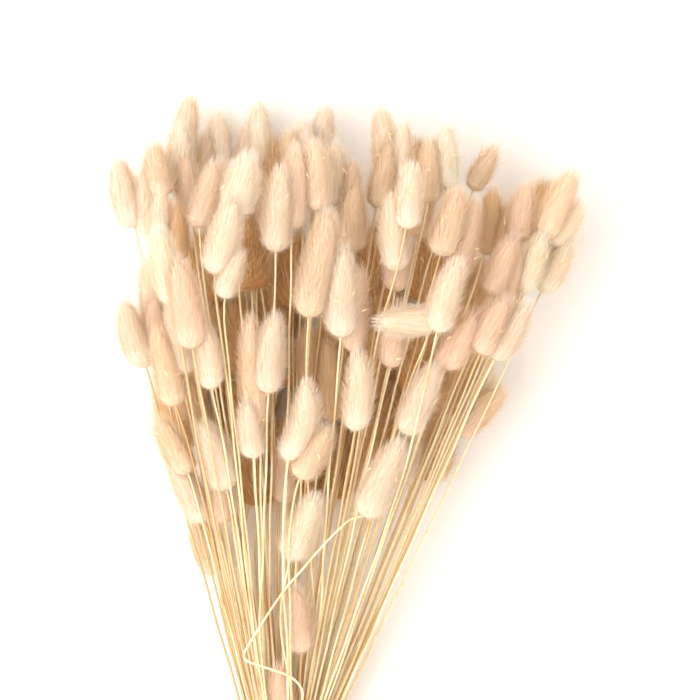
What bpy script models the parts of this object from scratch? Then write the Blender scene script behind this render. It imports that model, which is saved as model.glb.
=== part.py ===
"""A bunch of dried bunny tail grass, tied with twine and lying on its back, as closed solids.

Metres, +Z up. The heads point to +Y, the cut ends of the stalks to -Y, and the bunch rests on Z = 0.
The origin is under the middle of the bunch.
"""

import math
from collections import namedtuple

import bpy
import numpy as np

# Driving dimensions, in metres
STEP = 0.00055  # one step of the places in HEADS, so 100 steps are 55 mm
MIDDLE_X = 345.0  # the step that lies on X = 0, and below it the one on Y = 0
MIDDLE_Y = 525.0
TIE_PLACE = (283.0, 815.0)  # middle of the tie, in steps
CUT_ROW = 925.0  # the stalks are cut off on this row
TIE_AXIS_Z = 0.0139
HEAD_CLEAR = 0.0012  # between heads of two nodes
HEAD_SINK = 0.0050  # how far the heads of a node press into each other
MEET_MORE = 0.0010  # how much more than that they overlap as seen from above
BESIDE_COST = 2.0
LATE_PULL = 1.8
STALK_SHORT = 0.0003  # mates stop being drawn together when a stalk lacks this much of its room
IN_LINE = 0.014  # heads are not joined base to tip, which would leave no room for the stalk
STALK_ROOM = 0.0021  # room kept free round a stalk where it leaves its head
SETTLE_TURNS = 900
STALK_TOP = 0.00060  # radius of a stalk below its head
STALK_FOOT = 0.00072  # and in the tie
STALK_CLEAR = 0.0004
FOOT_PITCH = 0.0016  # between neighbouring stalks in the tie
CORNERS_USED = (0, 3, 5, 1)  # of a group's six corners, the one at the top last
CELL_PITCH = 0.00745  # between neighbouring groups of stalks in the tie
CELL_INNER = 0.00357  # half the width across flats of a group's hexagonal core
CORE_LENGTH = 0.021
CORE_ROOM = 0.0005  # from the end of a core to the last bend of its stalks
SPLAY = 1.25  # how much wider the cut ends stand than the stalks in the tie
LAYER_STEP = 0.022  # from one layer of heads to the next one down
TIE_BORE = 0.0116
TWINE = 0.0020
TIE_TURNS = 4
TAIL_LENGTH = 0.030
TIE_SIDES = 15
TAIL_RINGS = 6
TAIL_SIDES = 5
TAIL_TURN = 0.3
TAIL_START = (0.0012, 0.0013, 0.0006)  # from the top of the tie
TAIL_OUT = 0.80  # of the length, how far a tail goes out and how far it falls
TAIL_FALL = 0.55
TAIL_RISE = 0.0050
TWINE_VALLEY = 0.45  # depth between two turns, in thicknesses of the twine
KNOT_ALONG = np.array((-0.0036, -0.0024, 0.0, 0.0024, 0.0036))
KNOT_RADII = (0.0009, 0.0022, 0.0027, 0.0022, 0.0009)
KNOT_SIDES = 7
KNOT_LIFT = 0.0002
STALK_SIDES = 3
STALK_GAP = 0.0010  # from a head's base to its stalk
STRAIGHT_SLACK = 0.0003  # a bend smaller than this is left out of a stalk's solid
BENT_ROOM = 0.0019  # from the bent stalk's middle to what it lies on
BENT_ROOM_FOOT = 0.0010
BENT_ROOM_GAIN = 0.06  # how fast that room grows away from the tie
BENT_STEP = 0.001  # between the places where the bent stalk looks what lies below it
BENT_START = 0.003  # this close to its own head it doesn't look
BENT_SPACING = 0.0015  # least length between two bends
CUT_UNEVEN = 0.0015

GROUPS = 7
HEAD_NODES = 52
MOST_IN_NODE = 3
SEED = 11

# Small irregularities of the heads
BOW_RANGE = 3.0  # sideways bow, in steps
TILT_RANGE = 0.06  # rise per length
STEEPEST = 0.4
FLOOR_ROOM = 0.001

# Heads under the others, seen only in the gaps between them: their middles and their size in steps
HIDDEN_HEADS = (
    (388, 408),
    (268, 300),
    (340, 462),
    (460, 378),
    (226, 402),
    (220, 312),
    (478, 294),
    (250, 468),
    (292, 270),
    (382, 318),
    (268, 378),
    (364, 450),
    (418, 354),
    (172, 414),
    (430, 264),
    (430, 444),
    (538, 216),
    (376, 370),
    (334, 348),
    (200, 262),
    (310, 456),
    (274, 178),
    (292, 354),
    (238, 336),
    (274, 456),
    (370, 258),
    (184, 384),
    (244, 264),
    (412, 174),
)
HIDDEN_HALF = 40.0
HIDDEN_THICK = 33.0
HIDDEN_LAYERS = (4, 5)
HIDDEN_TONES = ("beige", "tan", "cream")

# How the heads are settled: shares of the push across and of the pull between mates, and the pull
# back to the starting place in the first turns
GIVE_ACROSS = 0.30
GIVE_MATES = 0.40
PUSH = 0.5
EARLY_TURNS = 0.6
EARLY_PULL = 0.5
PULL_REACH = 0.004
BACK_ACROSS = 0.03
BACK_UP = 0.005
BODY_SHARES = np.linspace(0.06, 0.95, 9)
STALK_SHARE = -0.12  # this far below its base a stalk needs its room
PAIR_REACH = 0.03

# How the stalks are settled
STALK_TURNS = 420
LEVEL_STEP = 0.004
HEAD_ROOM = 0.0008  # between a stalk and the slices of the heads
GROUP_CLEAR = 0.00012  # between stalks that meet in one core
NODE_SHARE = 0.6  # how much of a push away from a head is away from its whole node
STALK_GIVE = 0.7
LONGEST_MOVE = 0.004
SMOOTHING = 0.10
SMOOTH_TURNS = 0.7
STALK_SAG = 0.010
STALK_FLOOR = 0.0003

# A head seen from above: its tip and its base in steps, x to the right and y down, its thickness in
# steps, its layer (0 on top), its tone and how far its axis bows sideways, in steps.
Head = namedtuple("Head", "tip base thick layer tone bow", defaults=(0.0,))

HEADS = (
    Head((108, 153), (126, 228), 31, 2, "cream"),
    Head((195, 90), (184, 168), 27, 2, "tan"),
    Head((178, 118), (172, 190), 28, 2, "cream"),
    Head((163, 141), (172, 195), 29, 1, "tan"),
    Head((147, 163), (148, 236), 24, 2, "cream"),
    Head((157, 184), (153, 250), 24, 1, "cream"),
    Head((149, 221), (166, 303), 31, 0, "cream"),
    Head((180, 148), (186, 215), 25, 2, "pink"),
    Head((214, 158), (196, 228), 27, 1, "pink"),
    Head((176, 200), (178, 262), 28, 2, "tan"),
    Head((236, 160), (209, 222), 28, 2, "pink"),
    Head((256, 147), (241, 210), 34, 0, "cream"),
    Head((226, 196), (205, 277), 33, 0, "cream"),
    Head((222, 108), (226, 170), 26, 3, "cream"),
    Head((206, 128), (200, 190), 26, 3, "beige"),
    Head((259, 90), (262, 165), 27, 3, "cream"),
    Head((246, 115), (240, 180), 24, 3, "pink"),
    Head((279, 163), (273, 253), 31, 0, "cream"),
    Head((297, 138), (293, 231), 28, 1, "pink"),
    Head((267, 150), (252, 228), 26, 2, "pink"),
    Head((252, 212), (251, 278), 26, 1, "pink"),
    Head((285, 127), (300, 195), 26, 3, "tan"),
    Head((297, 121), (308, 185), 26, 3, "cream"),
    Head((335, 94), (322, 165), 27, 3, "cream"),
    Head((316, 140), (318, 211), 32, 1, "beige"),
    Head((333, 138), (332, 205), 24, 2, "cream"),
    Head((350, 147), (348, 215), 26, 2, "pink"),
    Head((371, 99), (379, 172), 27, 2, "beige"),
    Head((393, 140), (378, 212), 28, 2, "tan"),
    Head((411, 117), (409, 180), 22, 2, "cream"),
    Head((412, 150), (407, 217), 27, 0, "cream"),
    Head((381, 195), (385, 276), 28, 0, "cream"),
    Head((360, 190), (358, 262), 30, 2, "beige"),
    Head((329, 205), (307, 318), 37, 0, "beige"),
    Head((343, 243), (341, 338), 33, 0, "cream"),
    Head((361, 262), (353, 352), 27, 1, "pink"),
    Head((431, 133), (430, 200), 26, 2, "tan"),
    Head((448, 120), (449, 189), 26, 1, "cream"),
    Head((456, 186), (438, 256), 33, 0, "beige"),
    Head((478, 195), (457, 283), 28, 1, "pink"),
    Head((462, 258), (438, 332), 30, 0, "cream"),
    Head((412, 226), (406, 302), 26, 1, "pink"),
    Head((421, 178), (417, 242), 28, 2, "tan"),
    Head((497, 144), (472, 190), 22, 2, "tan"),
    Head((491, 185), (484, 255), 26, 2, "tan"),
    Head((512, 200), (500, 264), 26, 2, "tan"),
    Head((511, 236), (489, 296), 27, 0, "pink"),
    Head((531, 182), (520, 242), 28, 1, "pink"),
    Head((573, 165), (541, 236), 29, 0, "beige"),
    Head((589, 194), (557, 240), 26, 1, "cream"),
    Head((545, 232), (521, 292), 28, 1, "cream"),
    Head((567, 242), (537, 300), 28, 2, "cream"),
    Head((526, 245), (503, 315), 26, 2, "pink"),
    Head((514, 295), (485, 353), 33, 0, "pink"),
    Head((536, 302), (500, 362), 29, 1, "cream"),
    Head((465, 308), (431, 366), 31, 0, "pink"),
    Head((438, 360), (405, 435), 30, 0, "cream"),
    Head((402, 437), (365, 517), 33, 0, "cream"),
    Head((402, 300), (390, 367), 27, 1, "pink"),
    Head((373, 322), (434, 319), 30, 0, "cream"),
    Head((508, 392), (458, 440), 30, 1, "beige"),
    Head((500, 360), (464, 412), 27, 2, "cream"),
    Head((452, 425), (431, 482), 28, 2, "beige"),
    Head((421, 432), (406, 486), 26, 2, "cream"),
    Head((180, 247), (198, 342), 34, 0, "pink"),
    Head((141, 248), (152, 332), 26, 2, "cream"),
    Head((121, 297), (144, 368), 31, 1, "cream"),
    Head((152, 330), (171, 410), 30, 0, "beige"),
    Head((173, 300), (191, 371), 30, 1, "cream"),
    Head((162, 296), (165, 365), 26, 2, "pink"),
    Head((206, 325), (218, 398), 27, 0, "cream"),
    Head((246, 302), (254, 422), 28, 0, "beige"),
    Head((246, 255), (225, 303), 24, 0, "cream"),
    Head((288, 310), (278, 393), 30, 0, "cream"),
    Head((300, 373), (284, 458), 30, 0, "cream", 11.0),
    Head((333, 428), (302, 480), 30, 0, "beige"),
    Head((317, 493), (289, 560), 31, 0, "cream"),
    Head((280, 440), (285, 505), 26, 2, "pink"),
    Head((243, 402), (249, 464), 26, 1, "cream"),
    Head((322, 338), (330, 425), 30, 2, "tan"),
    Head((306, 325), (312, 392), 28, 2, "tan"),
    Head((357, 345), (355, 431), 28, 0, "cream"),
    Head((193, 418), (220, 487), 33, 0, "cream"),
    Head((172, 461), (208, 533), 30, 0, "cream"),
    Head((192, 520), (214, 577), 26, 2, "beige"),
    Head((154, 405), (186, 464), 28, 1, "beige"),
    Head((223, 470), (231, 528), 24, 1, "pink"),
    Head((190, 378), (207, 440), 26, 2, "tan"),
    Head((296, 585), (301, 654), 29, 0, "pink"),
    Head((278, 664), (286, 732), 26, 0, "pink"),
)

# The one bent stalk, which lies across the others: its way from its head's base, in steps
BENT_HEAD = 57
BENT_WAY = (
    (352, 516),
    (335, 533),
    (321, 547),
    (287, 586),
    (263, 622),
    (243, 653),
    (242, 660),
    (266, 668),
    (287, 675),
    (297, 682),
    (303, 692),
)

# Shape of a head, from its base (0) to its tip (1)
BASE_POWER = 0.33
TIP_POWER = 0.50
VALLEY = 0.80  # radius between two spikelets, as a share of the head's radius there
HEAD_SIDES = 5
HIDDEN_SIDES = 4
TURN_EACH = 0.37  # turn of the rings from one head to the next, in sides
SPIKE_LEAN = 0.40  # how far a spikelet's point leans towards the tip, in ring spacings
LONG_RINGS = np.array((0.10, 0.29, 0.49, 0.69, 0.88))
SHORT_RINGS = np.array((0.12, 0.36, 0.61, 0.86))
SHORT_HEAD = 0.054
HIDDEN_RINGS = np.array((0.14, 0.46, 0.80))

# Points of a stalk, as shares of its way from its head to the tie
STALK_KNOTS = np.array((0.0, 0.035, 0.10, 0.20, 0.36, 0.62, 1.0))

# Shape of the fan of stalks and heads
FAN_HIGH = 0.17  # half its height gained for each metre away from the tie
FAN_WIDE = 0.443
FAN_LEAN = 0.12
FAN_FOOT = 0.012
DOME_START = 0.283  # from here on the fan closes over its far end
DOME_LENGTH = 0.125

TONES = {
    "cream": (0.84, 0.70, 0.50),
    "beige": (0.75, 0.57, 0.38),
    "pink": (0.76, 0.56, 0.42),
    "tan": (0.56, 0.38, 0.21),
}
STRAW = (0.80, 0.62, 0.32)
JUTE = (0.47, 0.32, 0.17)


def place(x, y):
    """Metres for a place in steps."""
    return np.array([(x - MIDDLE_X) * STEP, (MIDDLE_Y - y) * STEP])


TIE = place(*TIE_PLACE)


def girth(s):
    """Radius along a head as a share of its largest: s to one power times (1 - s) to another."""
    s = np.clip(s, 0.0, 1.0)
    fullest = BASE_POWER / (BASE_POWER + TIP_POWER)
    most = fullest**BASE_POWER * (1 - fullest) ** TIP_POWER
    return s**BASE_POWER * (1 - s) ** TIP_POWER / most


def fan_top(x, y):
    """Highest level of the fan over a place: an ellipse across, growing away from the tie, then a dome."""
    away = np.maximum(y - TIE[1], 0.0)
    half_high = FAN_FOOT + FAN_HIGH * np.minimum(away, DOME_START)
    half_wide = FAN_FOOT + FAN_WIDE * away
    across = (x - TIE[0] - FAN_LEAN * away) / half_wide
    past = np.clip((away - DOME_START) / DOME_LENGTH, 0.0, 1.0)
    return half_high * (1 + np.sqrt(np.maximum(1 - across**2 - past**2, 0.04)))


def hidden_heads():
    """Heads under the others, each pointing away from the tie."""
    found = []
    for i, (x, y) in enumerate(HIDDEN_HEADS):
        way = np.array([x - TIE_PLACE[0], y - TIE_PLACE[1]])
        way *= HIDDEN_HALF / np.hypot(*way)
        tip = (x + way[0], y + way[1])
        base = (x - way[0], y - way[1])
        layer = HIDDEN_LAYERS[i % len(HIDDEN_LAYERS)]
        found.append(Head(tip, base, HIDDEN_THICK, layer, HIDDEN_TONES[i % len(HIDDEN_TONES)]))
    return found


class Heads:
    """Arrays for all heads: base, tip, radius, sideways bow, and points along each axis."""

    def __init__(self):
        rng = np.random.default_rng(SEED)
        rows = list(HEADS) + hidden_heads()
        self.tones = [row.tone for row in rows]
        self.count = len(rows)
        base = np.array([place(*row.base) for row in rows])
        tip = np.array([place(*row.tip) for row in rows])
        layer = np.array([row.layer for row in rows])
        self.radius = np.array([row.thick for row in rows]) * STEP / 2
        self.bow = np.array([row.bow for row in rows])
        self.bow += rng.uniform(-BOW_RANGE, BOW_RANGE, self.count)
        self.bow *= STEP
        middle = (base + tip) / 2
        top = fan_top(middle[:, 0], middle[:, 1])
        level = np.maximum(top - self.radius - layer * LAYER_STEP, self.radius + FLOOR_ROOM)
        away = np.linalg.norm(middle - TIE, axis=1)
        rise = np.clip((level - TIE_AXIS_Z) / away, 0.0, STEEPEST)
        rise += rng.uniform(-TILT_RANGE, TILT_RANGE, self.count)
        lift = rise * np.linalg.norm(tip - base, axis=1) / 2
        self.base = np.column_stack([base, level - lift])
        self.tip = np.column_stack([tip, level + lift])

    def along(self, s):
        """Points on the axes at the shares s: straight, plus a sideways bow that is a parabola."""
        way = self.tip - self.base
        side = np.column_stack([-way[:, 1], way[:, 0], np.zeros(self.count)])
        side /= np.linalg.norm(side, axis=1)[:, None]
        line = self.base[:, None] + way[:, None] * s[None, :, None]
        bend = -4 * s * (1 - s) * (s > 0) * (s < 1)
        return line + side[:, None] * (self.bow[:, None] * bend[None])[:, :, None]

    def move(self, by):
        self.base = self.base + by
        self.tip = self.tip + by


def near_pairs(heads):
    """Pairs of heads that could touch, seen from above."""
    i, j = np.triu_indices(heads.count, 1)
    middle = (heads.base + heads.tip)[:, :2] / 2
    long = np.linalg.norm(heads.tip - heads.base, axis=1)
    apart = np.linalg.norm(middle[i] - middle[j], axis=1)
    near = apart < (long[i] + long[j]) / 2 + PAIR_REACH
    return i[near], j[near]


def shortfalls(points, radii, i, j, clear):
    """How far each pair of heads is short of its clearance, and the way to push the first one."""
    between = points[i][:, :, None] - points[j][:, None]
    apart = np.sqrt((between**2).sum(-1)) + 1e-9
    short = radii[i][:, :, None] + radii[j][:, None] + clear - apart
    flat = short.reshape(len(i), -1)
    worst = flat.argmax(1)
    rows = np.arange(len(i))
    ways = (between / apart[..., None]).reshape(len(i), -1, 3)[rows, worst]
    return flat[rows, worst], ways


def join_up(heads, short, i, j):
    """Which pairs to join so that HEAD_NODES nodes are left: the closest first, at most three to a node."""
    node = np.arange(heads.count)
    mates = np.zeros(len(i), bool)
    for k in np.argsort(-short, kind="stable"):
        if len(set(node.tolist())) == HEAD_NODES:
            break
        ours = node == node[i[k]]
        theirs = node == node[j[k]]
        if node[i[k]] != node[j[k]] and (ours | theirs).sum() <= MOST_IN_NODE:
            node[theirs] = node[i[k]]
            mates[k] = True
    return mates, node


def settle_heads(heads):
    """Pushes the heads apart, mostly up and down, until they clear each other and the floor.

    First all of them, and then again with the mates drawn together until they press into each other.
    """
    shares = np.concatenate([[STALK_SHARE], BODY_SHARES])
    radii = heads.radius[:, None] * girth(shares)[None]
    radii[:, 0] = STALK_ROOM
    points = heads.along(shares)
    i, j = near_pairs(heads)
    mates = np.zeros(len(i), bool)
    clear = np.full((len(i), len(shares), len(shares)), HEAD_CLEAR)
    moved = np.zeros((heads.count, 3))
    give = np.array([GIVE_ACROSS, GIVE_ACROSS, 1.0])
    give_mates = np.array([GIVE_MATES, GIVE_MATES, 1.0])
    for turn in range(SETTLE_TURNS):
        now = points + moved[:, None]
        if turn == SETTLE_TURNS // 4:
            short, _ = shortfalls(now[:, 1:], radii[:, 1:], i, j, 0.0)
            flat, _ = shortfalls(now[:, 1:] * (1, 1, 0), radii[:, 1:], i, j, 0.0)
            beside = np.maximum(HEAD_SINK + MEET_MORE - flat, 0.0)
            base, tip = now[:, 1], now[:, -1]
            first = np.linalg.norm(base[i] - tip[j], axis=1)
            second = np.linalg.norm(base[j] - tip[i], axis=1)
            in_line = np.minimum(first, second) < IN_LINE
            mates, node = join_up(heads, short - BESIDE_COST * beside - in_line, i, j)
            together = node[i] == node[j]
            clear[together] = 0.0
            clear[mates, 1:, 1:] = -HEAD_SINK
            clear[together & ~mates, 1:, 1:] = -2 * HEAD_SINK
        short, ways = shortfalls(now, radii, i, j, clear)
        push = (np.maximum(short, 0.0) * PUSH)[:, None] * ways * give
        if mates.any():
            pulled, ways = shortfalls(now[:, 1:], radii[:, 1:], i[mates], j[mates], -HEAD_SINK)
            pull = EARLY_PULL if turn < SETTLE_TURNS * EARLY_TURNS else LATE_PULL
            pull = np.where(short[mates] > STALK_SHORT, 0.0, pull)
            push[mates] += (np.clip(pulled, -PULL_REACH, 0.0) * pull)[:, None] * ways * give_mates
        step = np.zeros((heads.count, 3))
        np.add.at(step, i, push)
        np.add.at(step, j, -push)
        if turn < SETTLE_TURNS * EARLY_TURNS:
            step[:, :2] -= BACK_ACROSS * moved[:, :2]
            step[:, 2] -= BACK_UP * moved[:, 2]
        moved += step
        low = (points[..., 2] + moved[:, None, 2] - radii).min(1)
        moved[:, 2] += np.maximum(-low, 0.0)
    heads.move(moved)
    nodes = [np.flatnonzero(node == k).tolist() for k in sorted(set(node.tolist()))]
    return sorted(nodes, key=lambda members: -heads.tip[members[0], 1])


def by_angle(places, slots):
    """Which slot each place takes: both in order round the middle, turned to match best."""
    order = np.argsort(np.arctan2(places[:, 1], places[:, 0]), kind="stable")
    ring = np.argsort(np.arctan2(slots[:, 1], slots[:, 0]), kind="stable")
    scale = np.linalg.norm(slots, axis=1).mean() / (np.linalg.norm(places, axis=1).mean() + 1e-9)
    costs = []
    for turn in range(len(ring)):
        miss = places[order] * scale - slots[np.roll(ring, turn)]
        costs.append((miss**2).sum())
    taken = np.empty(len(order), int)
    taken[order] = np.roll(ring, int(np.argmin(costs)))
    return taken


def ring_of(count, distance, first):
    """Places round a middle, at one distance."""
    turn = np.radians(first) + np.arange(count) * 2 * np.pi / count
    return distance * np.column_stack([np.cos(turn), np.sin(turn)])


def foot_slots(size):
    """Places of one group's stalks in the tie: the middle, six round it, six outside, four corners."""
    places = [np.zeros((1, 2)), ring_of(6, FOOT_PITCH, 30), ring_of(6, FOOT_PITCH * math.sqrt(3), 0)]
    corners = ring_of(6, FOOT_PITCH * 2, 30)[list(CORNERS_USED)]
    return np.vstack(places + [corners])[:size]


def group_stalks(heads):
    """A group and a place in the tie for each stalk, so that stalks from one side stay on that side."""
    middle = (heads.base + heads.tip) / 2
    away = middle[:, 1] - TIE[1]
    half_wide = FAN_FOOT + FAN_WIDE * away
    half_high = FAN_FOOT + FAN_HIGH * np.minimum(away, DOME_START)
    across = (middle[:, 0] - TIE[0] - FAN_LEAN * away) / half_wide
    up = (middle[:, 2] - half_high) / half_high
    seen = np.column_stack([across, up])
    seen[BENT_HEAD] = (-0.2, 3.0)
    size = heads.count // GROUPS
    order = np.argsort(np.linalg.norm(seen, axis=1), kind="stable")
    group = np.zeros(heads.count, int)
    outer = order[size:]
    turn = np.degrees(np.arctan2(seen[outer, 1], seen[outer, 0])) + 30
    outer = outer[np.argsort(turn % 360, kind="stable")]
    for k in range(GROUPS - 1):
        group[outer[k * size : (k + 1) * size]] = k + 1
    cells = np.vstack([np.zeros((1, 2)), ring_of(6, CELL_PITCH, 0)])
    feet = np.empty((heads.count, 2))
    for k in range(GROUPS):
        members = np.flatnonzero(group == k)
        slots = foot_slots(len(members))
        local = seen[members] - seen[members].mean(0)
        near = np.argsort(np.linalg.norm(local, axis=1), kind="stable")
        if BENT_HEAD in members:
            mine = int(np.flatnonzero(members == BENT_HEAD)[0])
            near = np.append(near[near != mine], mine)
        for first, last in ((0, 1), (1, 7), (7, len(members))):
            part = near[first:last]
            spots = slots[first:last]
            if last == len(members) and BENT_HEAD in members:
                feet[members[part[-1]]] = cells[k] + spots[-1]
                part = part[:-1]
                spots = spots[:-1]
            feet[members[part]] = cells[k] + spots[by_angle(local[part], spots)]
    return group, cells, feet


def head_slices(heads, levels):
    """Round slices of the heads on the levels of Y: each one's head, level, x, z and radius."""
    shares = np.linspace(0.02, 0.98, 14)
    points = heads.along(shares).reshape(-1, 3)
    radii = (heads.radius[:, None] * girth(shares)[None]).ravel()
    owner = np.repeat(np.arange(heads.count), len(shares))
    off = levels[None] - points[:, 1][:, None]
    hit, level = np.nonzero(np.abs(off) < radii[:, None])
    slice_radius = np.sqrt(radii[hit] ** 2 - off[hit, level] ** 2)
    return owner[hit], level, points[hit, 0], points[hit, 2], slice_radius


def settle_stalks(heads, nodes, group, feet):
    """Bends the stalks clear of the heads and of each other, from their heads down to the tie."""
    count = heads.count
    node = np.empty(count, int)
    for k, members in enumerate(nodes):
        node[members] = k
    way = heads.base - heads.tip
    way /= np.linalg.norm(way, axis=1)[:, None]
    start = heads.base + way * STALK_GAP
    top_y = TIE[1] + CORE_LENGTH / 2 + CORE_ROOM
    knots_y = start[:, 1:2] + (top_y - start[:, 1:2]) * STALK_KNOTS[None]
    end = np.column_stack([TIE[0] + feet[:, 0], TIE_AXIS_Z + feet[:, 1]])
    begin = start[:, [0, 2]]
    line = STALK_KNOTS[None, :, None]
    knots = begin[:, None] * (1 - line) + end[:, None] * line
    knots[:, :, 1] += STALK_SAG * (STALK_KNOTS * (1 - STALK_KNOTS))[None]
    levels = np.arange(top_y + LEVEL_STEP / 4, start[:, 1].max(), LEVEL_STEP)
    inside = levels[None] < start[:, 1:2]
    inside[BENT_HEAD] = False
    after = (knots_y[:, :, None] > levels[None, None]).sum(1)
    after = np.clip(after, 1, len(STALK_KNOTS) - 1)
    rows = np.arange(count)[:, None]
    above_y = knots_y[rows, after - 1]
    below_y = knots_y[rows, after]
    part = (above_y - levels[None]) / (above_y - below_y)
    radius = STALK_FOOT + (STALK_TOP - STALK_FOOT) * (levels - top_y) / (levels[-1] - top_y)
    owner, level, disc_x, disc_z, disc_r = head_slices(heads, levels)
    use = inside[:, level] & (owner[None] != np.arange(count)[:, None])
    stalk, disc = np.nonzero(use)
    wanted_disc = disc_r[disc] + STALK_TOP + HEAD_ROOM
    same = group[:, None] == group[None]
    both = inside.T[:, :, None] & inside.T[:, None]
    first, a, b = np.nonzero(both & np.triu(np.ones((count, count), bool), 1)[None])
    wanted_pair = 2 * radius[first] + np.where(same[a, b], GROUP_CLEAR, STALK_CLEAR)
    key = node[owner[disc]] * count + stalk
    for turn in range(STALK_TURNS):
        here = knots[rows, after - 1] * (1 - part[..., None]) + knots[rows, after] * part[..., None]
        push = np.zeros_like(here)
        off_x = here[stalk, level[disc], 0] - disc_x[disc]
        off_z = here[stalk, level[disc], 1] - disc_z[disc]
        apart = np.hypot(off_x, off_z) + 1e-9
        short = np.maximum(wanted_disc - apart, 0.0)
        hit = short > 0
        sum_x = np.bincount(key[hit], off_x[hit], count * count)
        sum_z = np.bincount(key[hit], off_z[hit], count * count)
        long = np.hypot(sum_x, sum_z) + 1e-9
        way_x = NODE_SHARE * (sum_x / long)[key[hit]] + (1 - NODE_SHARE) * off_x[hit] / apart[hit]
        way_z = NODE_SHARE * (sum_z / long)[key[hit]] + (1 - NODE_SHARE) * off_z[hit] / apart[hit]
        spot = (stalk[hit], level[disc[hit]])
        deepest = np.zeros(here.shape[:2])
        np.maximum.at(deepest, spot, short[hit])
        total = np.zeros(here.shape[:2])
        np.add.at(total, spot, short[hit])
        share = deepest[spot] / total[spot]
        np.add.at(push[..., 0], spot, short[hit] * share * way_x)
        np.add.at(push[..., 1], spot, short[hit] * share * way_z)
        gap = here[a, first] - here[b, first]
        apart = np.hypot(gap[:, 0], gap[:, 1]) + 1e-9
        short_pair = wanted_pair - apart
        close = short_pair > 0
        half = 0.5 * (short_pair[close] / apart[close])[:, None] * gap[close]
        np.add.at(push, (a[close], first[close]), half)
        np.add.at(push, (b[close], first[close]), -half)
        floor = radius[None] + STALK_FLOOR - here[..., 1]
        push[..., 1] += np.where(inside, np.maximum(floor, 0.0), 0.0)
        step = np.zeros_like(knots)
        weight = np.full(knots.shape[:2], 1e-6)
        moved = (np.abs(push).sum(-1) > 0) & inside
        who, where = np.nonzero(moved)
        for side, share in ((after - 1, 1 - part), (after, part)):
            spot = (who, side[who, where])
            np.add.at(step, spot, push[who, where] * share[who, where, None])
            np.add.at(weight, spot, share[who, where] ** 2)
        step /= np.maximum(weight, 0.25)[..., None]
        long = np.linalg.norm(step, axis=-1, keepdims=True)
        step *= np.minimum(1.0, LONGEST_MOVE / np.maximum(long, 1e-9))
        smooth = SMOOTHING * max(0.0, 1 - turn / (STALK_TURNS * SMOOTH_TURNS))
        bend = np.zeros_like(knots)
        left = (STALK_KNOTS[1:-1] - STALK_KNOTS[:-2]) / (STALK_KNOTS[2:] - STALK_KNOTS[:-2])
        straight = knots[:, :-2] * (1 - left)[None, :, None] + knots[:, 2:] * left[None, :, None]
        bend[:, 1:-1] = (straight - knots[:, 1:-1]) * smooth
        knots[:, 1:-1] += (STALK_GIVE * step + bend)[:, 1:-1]
    return np.dstack([knots[..., 0], knots_y, knots[..., 1]])


def solid(name, points, faces):
    """An object made of the points and faces, turned so that its faces look outwards."""
    mesh = bpy.data.meshes.new(name)
    mesh.from_pydata([tuple(point) for point in points], [], faces)
    corners = [points[list(face)] for face in faces]
    volume = 0.0
    for corner in corners:
        for k in range(1, len(corner) - 1):
            volume += np.dot(corner[0], np.cross(corner[k], corner[k + 1]))
    if volume < 0:
        mesh.flip_normals()
    thing = bpy.data.objects.new(name, mesh)
    bpy.context.scene.collection.objects.link(thing)
    return thing


def fuse(things):
    """One union of all the things, kept in the first one."""
    first, others = things[0], things[1:]
    if not others:
        return first
    group = bpy.data.collections.new("others")
    for thing in others:
        group.objects.link(thing)
    union = first.modifiers.new("union", "BOOLEAN")
    union.operation = "UNION"
    union.operand_type = "COLLECTION"
    union.collection = group
    union.solver = "MANIFOLD"
    bpy.context.view_layer.update()
    graph = bpy.context.evaluated_depsgraph_get()
    fused = bpy.data.meshes.new_from_object(first.evaluated_get(graph))
    first.modifiers.clear()
    first.data = fused
    for thing in others:
        bpy.data.objects.remove(thing, do_unlink=True)
    bpy.data.collections.remove(group)
    return first


def tube(name, points, radii, sides, ways, first_turn=0.0):
    """A closed tube: a ring round each point, square to its way, joined from one to the next."""
    ways = ways / np.linalg.norm(ways, axis=1)[:, None]
    aside = np.cross(ways, (0.0, 0.0, 1.0))
    aside /= np.linalg.norm(aside, axis=1)[:, None]
    up = np.cross(aside, ways)
    turn = first_turn + np.arange(sides) * 2 * np.pi / sides
    round_it = aside[:, None] * np.cos(turn)[None, :, None] + up[:, None] * np.sin(turn)[None, :, None]
    rings = points[:, None] + round_it * np.asarray(radii)[:, None, None]
    faces = []
    for k in range(len(points) - 1):
        for j in range(sides):
            here = k * sides + j
            beside = k * sides + (j + 1) % sides
            faces.append((here, here + sides, beside + sides, beside))
    faces.append(tuple(range(sides)))
    faces.append(tuple(range(len(points) * sides - 1, (len(points) - 1) * sides - 1, -1)))
    return solid(name, rings.reshape(-1, 3), faces)


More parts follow.
